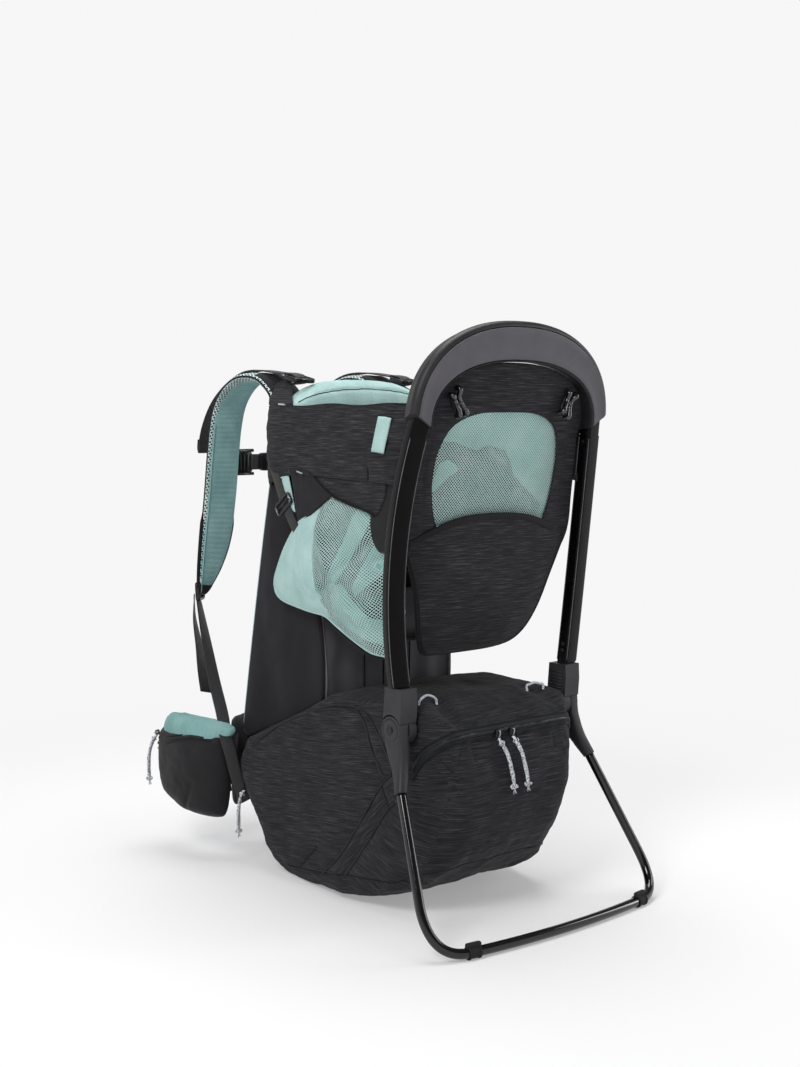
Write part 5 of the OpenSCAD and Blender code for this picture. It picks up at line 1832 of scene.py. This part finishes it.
lumbar = beam("lumbar_cushion",
              [[(x, d, z - 0.0006 * x * x) for d, z in lumbar_profile] for x in np.linspace(-136, 136, 34)],
              BACK_MESH, "carrier", ["lumbar_pad"], box_map, 6.0, 4.0, 7.0)
press(lumbar, [[(sign * 60, 470, z) for z in (90, 150, 222)] for sign in (-1, 1)], 3.0, 5.0)


# ---------------------------------------------------------------- hip belt

belt_middle, belt_reach = 512, 194


def on_ring(sign, lift_of):
    """Places on the belt: a is the depth and b the height; the radius comes from lift_of."""
    def surface(a, b, t):
        radius = lift_of(a, b, t)
        angle = np.arcsin(np.clip((a - belt_middle) / belt_reach, -0.99, 0.99))
        return sign * radius * np.cos(angle), belt_middle + radius * np.sin(angle), b
    return surface


for label, sign in (("left", -1), ("right", 1)):
    pad_outline = spline([(408, 204), (414, 214), (440, 220), (463, 222), (499, 222), (540, 219), (568, 213),
                          (584, 204), (591, 188), (589, 150), (574, 122), (548, 96), (512, 80), (470, 77),
                          (436, 80), (428, 100), (427, 160)], 120, True)

    def pad_radius(a, b, t):
        return 175.8 + 8.2 * t + 13 * np.clip((b - 168) / 16, 0, 1) * np.clip(t, 0, 1)

    pad = cushion("hip_cushion_" + label, pad_outline, (505, 150), on_ring(sign, pad_radius), HIP_TEAL,
                  "carrier", ["hip_pad_" + label], rings=16, count=120)
    inflate(pad, 5.0, 4.0, 5.0)
    map_cloth(pad, box_map)
    pocket_outline_side = spline([(424, 192), (436, 193), (471, 199), (484, 198), (515, 195), (560, 190),
                                  (584, 186), (593, 174), (593, 136), (586, 104), (560, 85), (524, 74),
                                  (502, 69), (470, 67), (436, 68), (424, 76), (418, 110), (417, 150)], 150,
                                  True)

    def pocket_lift(a, b, t):
        shelf = 184.6 + 19.3 * (1 - t ** 9)
        sag = 2.2 * np.sin((a + 1.4 * b) / 15.0) * (1 - t ** 3) * np.clip((150 - b) / 80, 0, 1)
        dart = -3.2 * np.exp(-((a - 470 + 0.35 * (b - 120)) / 5) ** 2) * np.clip((125 - b) / 45, 0,
                1) * (1 - t ** 5)
        return shelf + sag + dart

    hip_cloth = patch("hip_pocket_cloth_" + label, pocket_outline_side, (500, 130),
                      on_ring(sign, pocket_lift), 1.8 * (1 if sign > 0 else -1), SMOOTH, "carrier",
                      "black_fabric", ["hip_pocket_" + label], rings=34, count=200, amount=1.3,
                      scale=(0.02, 0.018, 0.024), seed=41)
    hip_tree = surface_tree(hip_cloth)
    flip = np.array([-sign, 1, 1])
    seam_low = np.array([(-192, 578, 152), (-204, 525, 171), (-203, 491, 181), (-197, 460, 187),
                         (-189, 435, 190)], float) * flip
    seam_top = np.array([(-194, 574, 170), (-204, 515, 184), (-202, 484, 194), (-197, 462, 197)],
                        float) * flip
    for key, points, r in (("low", seam_low, 1.2), ("top", seam_top, 1.0)):
        line, ways = seam_line(hip_tree, points, 70, 0.2)
        tube("hip_pocket_%s_seam_%s" % (key, label), line, r, BINDING, "carrier", sides=8)
    mid_points = (resample(seam_low, 30) + resample(seam_top, 30)) / 2
    line, ways = seam_line(hip_tree, mid_points, 110, 0.6)
    zip_chain("hip_zip_coil_" + label, line, (sign, 0.3, 0.1), "carrier", 4.0)
    rim_path = rim_of(pocket_outline_side, on_ring(sign, lambda a, b, t: 185.2), 200)
    tube("hip_pocket_binding_" + label, rim_path, 1.9, BINDING, "carrier", closed=True,
         sides=10, up=(1, 0.2, 0))
    slide_angle, slide_r = math.radians(17), 205.2
    slide_at = (sign * slide_r * math.cos(slide_angle), belt_middle + slide_r * math.sin(slide_angle), 179)
    zip_slider("hip_slide_" + label, slide_at, (0, math.cos(slide_angle), -0.3),
               (sign * math.cos(slide_angle), math.sin(slide_angle), 0), "hip_zip_" + label,
               ["hip_slider_" + label])
    inner_web = spline([(sign * 130, 477, 190), (sign * 131, 472, 150), (sign * 131, 462, 96)], 40)
    outer_web = spline([(sign * 132, 516, 188), (sign * 132, 502, 150), (sign * 131, 474, 96)], 40)
    grid = np.linspace(0, 1, 9)[:, None, None] * (outer_web - inner_web)[None] + inner_web[None]
    grid[..., 0] += sign * 2.0 * np.sin(np.linspace(0, math.pi, 9))[:, None]
    cloth_grid("side_flap_" + label, grid, 2.4 * (1 if sign > 0 else -1), SMOOTH, "carrier",
               (), grid[..., 1:3])
    for shift in (0.04, 0.96):
        edge = inner_web + (outer_web - inner_web) * shift
        tube("side_flap_hem_%s_%d" % (label, int(shift * 100)), edge + np.array([sign * 1.4, 0, 0]), 1.2,
             BINDING, "carrier", sides=8)
    corner = np.array([(448, 186), (428, 192), (408, 199), (412, 165), (420, 130), (429, 104), (440, 140)],
                      float)
    patch("hip_corner_" + label, corner, (426, 158),
          lambda a, b, r: (sign * (153.5 + 5 * (1 - r ** 2) + 0.25 * (a - 410)), a, b),
          2.0 * (1 if sign > 0 else -1), SMOOTH, "carrier", "black_fabric", rings=10, count=80, amount=1.5,
          seed=44)
    for k, (z0, shift) in enumerate(((150, 0.0), (131, 2.6))):
        run = [(sign * x, 573.2 + shift, z0 - 4 * k + 0.02 * abs(x)) for x in np.linspace(8, 150, 16)]
        width = 36 if k == 0 else 30
        strap("belt_strap_%s_%d" % (label, k), run, width, 2.0, WEBBING, "carrier", (0, 0, 1),
              ["belt_webbing_" + label] if k == 0 else [])


def rounded_box(name, low, high, radius, material, body, replaces=()):
    """A moulded block with rounded edges."""
    low, high = np.array(low, float), np.array(high, float)
    mid, half = (low + high) / 2, (high - low) / 2
    sections = []
    for t, grow in ((-1, 0.86), (-0.86, 0.96), (-0.6, 1.0), (0, 1.0), (0.6, 1.0), (0.86, 0.96), (1, 0.86)):
        sections.append((mid + np.array([0, half[1] * t, 0]), half[0] - (1 - grow) * radius * 2.2,
                         half[2] - (1 - grow) * radius * 2.2, 5, (1, 0, 0), (0, 0, 1)))
    v, f = loft(sections, 40)
    make(name, v, f, material, body, replaces)


rounded_box("belt_buckle_socket", (-36, 575, 116.5), (6, 586.5, 163.5), 4, HARD, "carrier",
            ["belt_socket"])
rounded_box("belt_buckle_face", (-26, 584.5, 124), (0, 588.4, 156), 3, HARD, "carrier")
rounded_box("belt_buckle_plug", (6.4, 576, 118.5), (34, 585.5, 161.5), 4, HARD, "belt_tongue",
            ["belt_plug"])
for k, z in enumerate((123, 157)):
    rounded_box("belt_buckle_prong_%d" % k, (3.0, 578, z - 3), (14, 584, z + 3), 2, HARD, "belt_tongue")
for k in range(3):
    rounded_box("belt_buckle_grip_%d" % k, (14 + k * 5, 585, 128), (16.4 + k * 5, 587, 152), 1, HARD,
                "belt_tongue")


# ---------------------------------------------------------------- shoulder harness

strap_rows = [(0, 350, 694, 1), (0, 364, 712, 1), (0, 390, 728, 1), (0, 420, 733, 1), (0, 452, 730, 1),
              (0, 482, 715, 1), (0, 505, 690, 1), (0, 518, 655, 1), (0, 526, 610, 1), (2, 532, 550, 1),
              (6, 540, 485, .95), (11, 549, 440, .72), (15, 559, 408, .40), (18, 564, 393, .16)]
strap_line = spline(strap_rows, 300)
for label, sign in (("left", -1), ("right", 1)):
    path = np.stack([sign * (100 + strap_line[:, 0]), strap_line[:, 1], strap_line[:, 2]], 1)
    t = tangents(path)
    side = np.broadcast_to(np.array([1.0, 0, 0]), path.shape)
    side = unit(side - t * (side * t).sum(1, keepdims=True))
    high = np.cross(side, t)
    high = high * np.sign(high[60, 2])
    run = np.concatenate([[0], np.cumsum(np.linalg.norm(np.diff(path, axis=0), axis=1))])
    end_cap = np.clip(np.minimum(run / 10, (run[-1] - run) / 10), 0, 1) ** 0.5
    per = 40
    verts, uv, spots = [], [], []
    for i in range(len(path)):
        w, h = 29 * strap_line[i, 3], 7.5 * (0.5 + 0.5 * end_cap[i])
        for q in range(per):
            a = 2 * math.pi * q / per
            ca, sa = power(math.cos(a), 2 / 2.6), power(math.sin(a), 2 / 2.6)
            quilted = (abs(ca) < 0.8) * (sa < 0) * (1 - abs(ca) ** 4)
            quilt = 0.32 * math.cos(2 * math.pi * run[i] / 8.0) * quilted
            verts.append(path[i] + side[i] * ca * w + high[i] * (sa * h * (1.0 if sa > 0 else 0.8) - quilt))
            uv.append((ca * w, run[i]) if sa <= 0 else (ca * w + 200, run[i]))
            spots.append((ca, sa))
    faces, picks = [], []
    for i in range(len(path) - 1):
        for q in range(per):
            r = (q + 1) % per
            faces.append((i * per + q, i * per + r, (i + 1) * per + r, (i + 1) * per + q))
            sa = (spots[i * per + q][1] + spots[i * per + r][1]) / 2
            ca = (spots[i * per + q][0] + spots[i * per + r][0]) / 2
            outer_edge = ca * sign > np.interp(i, (50, 130), (0.45, 0.86))
            picks.append(1 if sa > 0.1 or outer_edge else 0)
    faces += [tuple(range(per)), tuple((len(path) - 1) * per + q for q in range(per))]
    picks += [0, 0]
    pad = make("shoulder_cushion_" + label, verts, faces, [TEAL_PAD, SPACER], "harness",
               ["shoulder_strap_" + label], uv)
    for polygon, pick in zip(pad.data.polygons, picks):
        polygon.material_index = pick
    for key, at_ca, at_sa in (("in", -sign * 0.97, 0.12), ("out", sign * 0.97, 0.12),
                              ("line", sign * 0.80, -0.72)):
        edge = [path[i] + side[i] * at_ca * 29 * strap_line[i, 3]
                + high[i] * at_sa * 7.5 * (0.5 + 0.5 * end_cap[i]) for i in range(2, 298)]
        piece = "shoulder_binding_%s_%s" % (key, label)
        if key == "line":
            tube(piece, resample(edge[128:], 200), 1.0, TEAL_PAD, "harness", sides=10)
        else:
            swell = np.interp(np.linspace(0, 1, 200), (0, 0.73, 0.76, 1), (1, 1, 2.1, 2.1))
            tube(piece, resample(edge, 200), 1.7, BINDING, "harness", sides=10,
                 scale=swell[:, None])
    grid = []
    for i in range(0, 40, 3):
        grid.append([path[i] + side[i] * u * 29.6 + high[i] * 8.4 * (1 - abs(u) ** 6)
                     for u in np.linspace(-1, 1, 15)])
    cloth_grid("shoulder_root_" + label, np.array(grid), -1.4, PLAIN, "harness", ())
    tip = []
    for i in range(288, 300, 2):
        w = 29 * strap_line[i, 3] + 1.2
        h = 8.3 * (0.5 + 0.5 * end_cap[i])
        tip.append([path[i] + side[i] * power(math.cos(a), 0.8) * w + high[i] * power(math.sin(a), 0.8) * h
                    for a in np.linspace(0, 2 * math.pi, 30, endpoint=False)])
    tip = np.array(tip)
    m, n = tip.shape[:2]
    make("shoulder_tip_" + label, tip.reshape(-1, 3), joined(m, n), SMOOTH, "harness", (),
         np.stack([np.tile(np.arange(n) * 3.0, m), np.repeat(np.arange(m) * 3.0, n)], 1))

    lift_route = [(342, 736), (372, 739.5), (400, 742.5), (428, 743.5), (455, 741), (484, 732), (514, 717),
                  (541, 695), (560, 668), (572, 642), (577, 620)]
    web = spline([(sign * (100 + 2 * math.sin(k * 0.9)), d, z) for k, (d, z) in enumerate(lift_route)], 90)
    strap("lifter_" + label, web, 24, 2.2, WEBBING, "harness", (1, 0, 0), ["load_lifters"])
    fold = spline([(sign * 100, 574, 631), (sign * 100, 578.5, 617), (sign * 100, 582, 624),
                   (sign * 100, 580.5, 638)], 20)
    strap("lifter_end_" + label, fold, 24, 2.0, WEBBING, "harness", (1, 0, 0))
    lock_turn = math.radians(12)
    along_way = np.array([0, math.cos(lock_turn), math.sin(lock_turn)])
    up_way = np.array([0, -math.sin(lock_turn), math.cos(lock_turn)])
    mid = np.array([sign * 100, 322, 729.0])
    lock_frame = [mid + np.array([u, 0, 0]) + along_way * w for u, w in rounded(32, 29, 3, 4)]
    v, f, uv = sweep(np.array(lock_frame), rounded(5.0, 7.0, 1.8, 3), up_way, closed=True)
    make("ladder_lock_" + label, v, f, HARD, "harness", ["ladder_locks"])
    for k, shift in enumerate((-3.0, 5.0)):
        tube("ladder_rung_%s_%d" % (label, k),
             [mid + along_way * shift + np.array([u, 0, 0]) + up_way * 1.5 for u in (-12.5, 12.5)], 2.1, HARD,
             "harness", sides=12, up=(0, 0, 1))
    strap("ladder_web_" + label, spline([mid + along_way * 24 + up_way * 4,
                                         mid + along_way * 8 + up_way * 5.2,
                                         mid - along_way * 1 + up_way * 3.6,
                                      mid - along_way * 6 - up_way * 3.5, mid + along_way * 6 - up_way * 8,
                                      mid + along_way * 22 - up_way * 12], 30),
          20, 2.0, WEBBING, "harness", (1, 0, 0))
    strap("ladder_tongue_" + label,
          spline([mid - along_way * 11 + up_way * 1, mid - along_way * 16 + up_way * 2.5,
                  mid - along_way * 19 + up_way * 1], 12),
          16, 2.4, HARD, "harness", (1, 0, 0))

    low_web = spline([(sign * 115, 581, 392), (sign * 121, 553, 338), (sign * 138, 500, 268),
                      (sign * 155, 450, 220), (sign * 167, 424, 194), (sign * 167, 410, 168),
                      (sign * 160, 405, 130), (sign * 150, 403, 98)], 90)
    turned = np.linspace(0, 1, 90)[:, None] ** 0.7
    across_ways = (np.array([-sign * 0.66, 0.75, 0]) * (1 - turned)
                   + np.array([-sign * 0.75, -0.55, 0]) * turned)
    v, f, uv = sweep(low_web, rounded(22, 2.2, 1.0, 3), unit(np.cross(across_ways, tangents(low_web))),
                     scale=np.stack([1 - 0.3 * turned[:, 0] ** 3, np.ones(90)], 1))
    web_mesh = make("strap_web_" + label, v, f, WEBBING, None, ["strap_webbings"], uv)
    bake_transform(web_mesh)
    tail = spline([(sign * 117, 588, 388), (sign * 123, 577, 352), (sign * 131, 551, 310),
                   (sign * 141, 525, 272), (sign * 146, 508, 246)], 70)
    tail_turn = np.linspace(0, 1, 70)[:, None]
    strap("strap_tail_" + label, tail, 25, 1.8, WEBBING, "harness",
          np.array([-sign * 0.5, 0.86, 0]) * (1 - tail_turn) + np.array([-sign * 0.95, 0.3, 0.1]) * tail_turn)
    mid = np.array([sign * 116, 572, 397.0])
    lock_wide = np.array([-sign * 0.72, 0.69, 0])
    lock_out = np.array([sign * 0.69, 0.72, 0])
    lock_frame = [mid + lock_wide * u + np.array([0, 0.08, 1.0]) * w for u, w in rounded(31, 25, 3, 4)]
    v, f, uv = sweep(np.array(lock_frame), rounded(4.6, 7.5, 1.5, 3), lock_out, closed=True)
    make("strap_lock_" + label, v, f, HARD, "harness", ["strap_buckles"])
    for k, shift in enumerate((-4.0, 4.0)):
        tube("strap_lock_rung_%s_%d" % (label, k),
             [mid + lock_wide * u + lock_out + np.array([0, 0, shift]) for u in (-14, 14)], 2.4, HARD,
             "harness", sides=12, up=lock_out)

yoke_rows = []
for d, z in ((343, 702), (349, 675), (356, 641)):
    yoke_rows.append([(x, d + 0.0006 * x * x, z) for x in np.linspace(-72, 72, 30)])
cloth_grid("harness_yoke_cloth", np.array(yoke_rows, float), 5.0, PLAIN, "harness",
           ["harness_yoke"])
sternum_d, sternum_z = 537.5, 602
strap("sternum_web_left", [(x, sternum_d + 1.0 + 0.0008 * (x + 60) ** 2, sternum_z)
                           for x in np.linspace(-118, -18, 20)], 25, 2.2, WEBBING,
      "harness", (0, 0, 1), ["sternum_strap"])
rounded_box("sternum_socket", (-22, 534.6, 587.5), (4, 544.4, 616.5), 3, HARD, "harness")
rounded_box("sternum_adjuster", (-66, 534.2, 584.5), (-38, 543.2, 619.5), 3, HARD, "harness")
for k in range(4):
    rounded_box("sternum_rib_%d" % k, (-63.5 + k * 6.6, 532.6, 589), (-60.5 + k * 6.6, 545.0, 615), 1.2, HARD,
                "harness")
for k, z in enumerate((583.5, 620.5)):
    tube("sternum_bar_%d" % k, [(-69, 538, z), (-35, 538, z)], 2.6, HARD, "harness",
         sides=12, up=(0, 0.1, 1))
    tube("sternum_glint_%d" % k, [(-63, 535.4, z), (-44, 535.4, z)], 0.5, ALLOY, "harness", sides=8,
         up=(0, 0.1, 1))
rounded_box("sternum_face", (-17, 543, 592), (-2, 546.5, 612), 2, HARD, "harness")
strap("sternum_web_right", [(x, sternum_d + 1.0, sternum_z) for x in np.linspace(20, 100, 20)], 25, 2.2,
      WEBBING, "sternum_tongue", (0, 0, 1), ["sternum_webbing"])
rounded_box("sternum_plug_body", (4.4, 535.5, 588.5), (22, 543.5, 615.5), 3, HARD, "sternum_tongue",
            ["sternum_plug"])
for k, z in enumerate((592, 612)):
    rounded_box("sternum_prong_%d" % k, (1.5, 537, z - 2), (9, 542, z + 2), 1.5, HARD, "sternum_tongue")
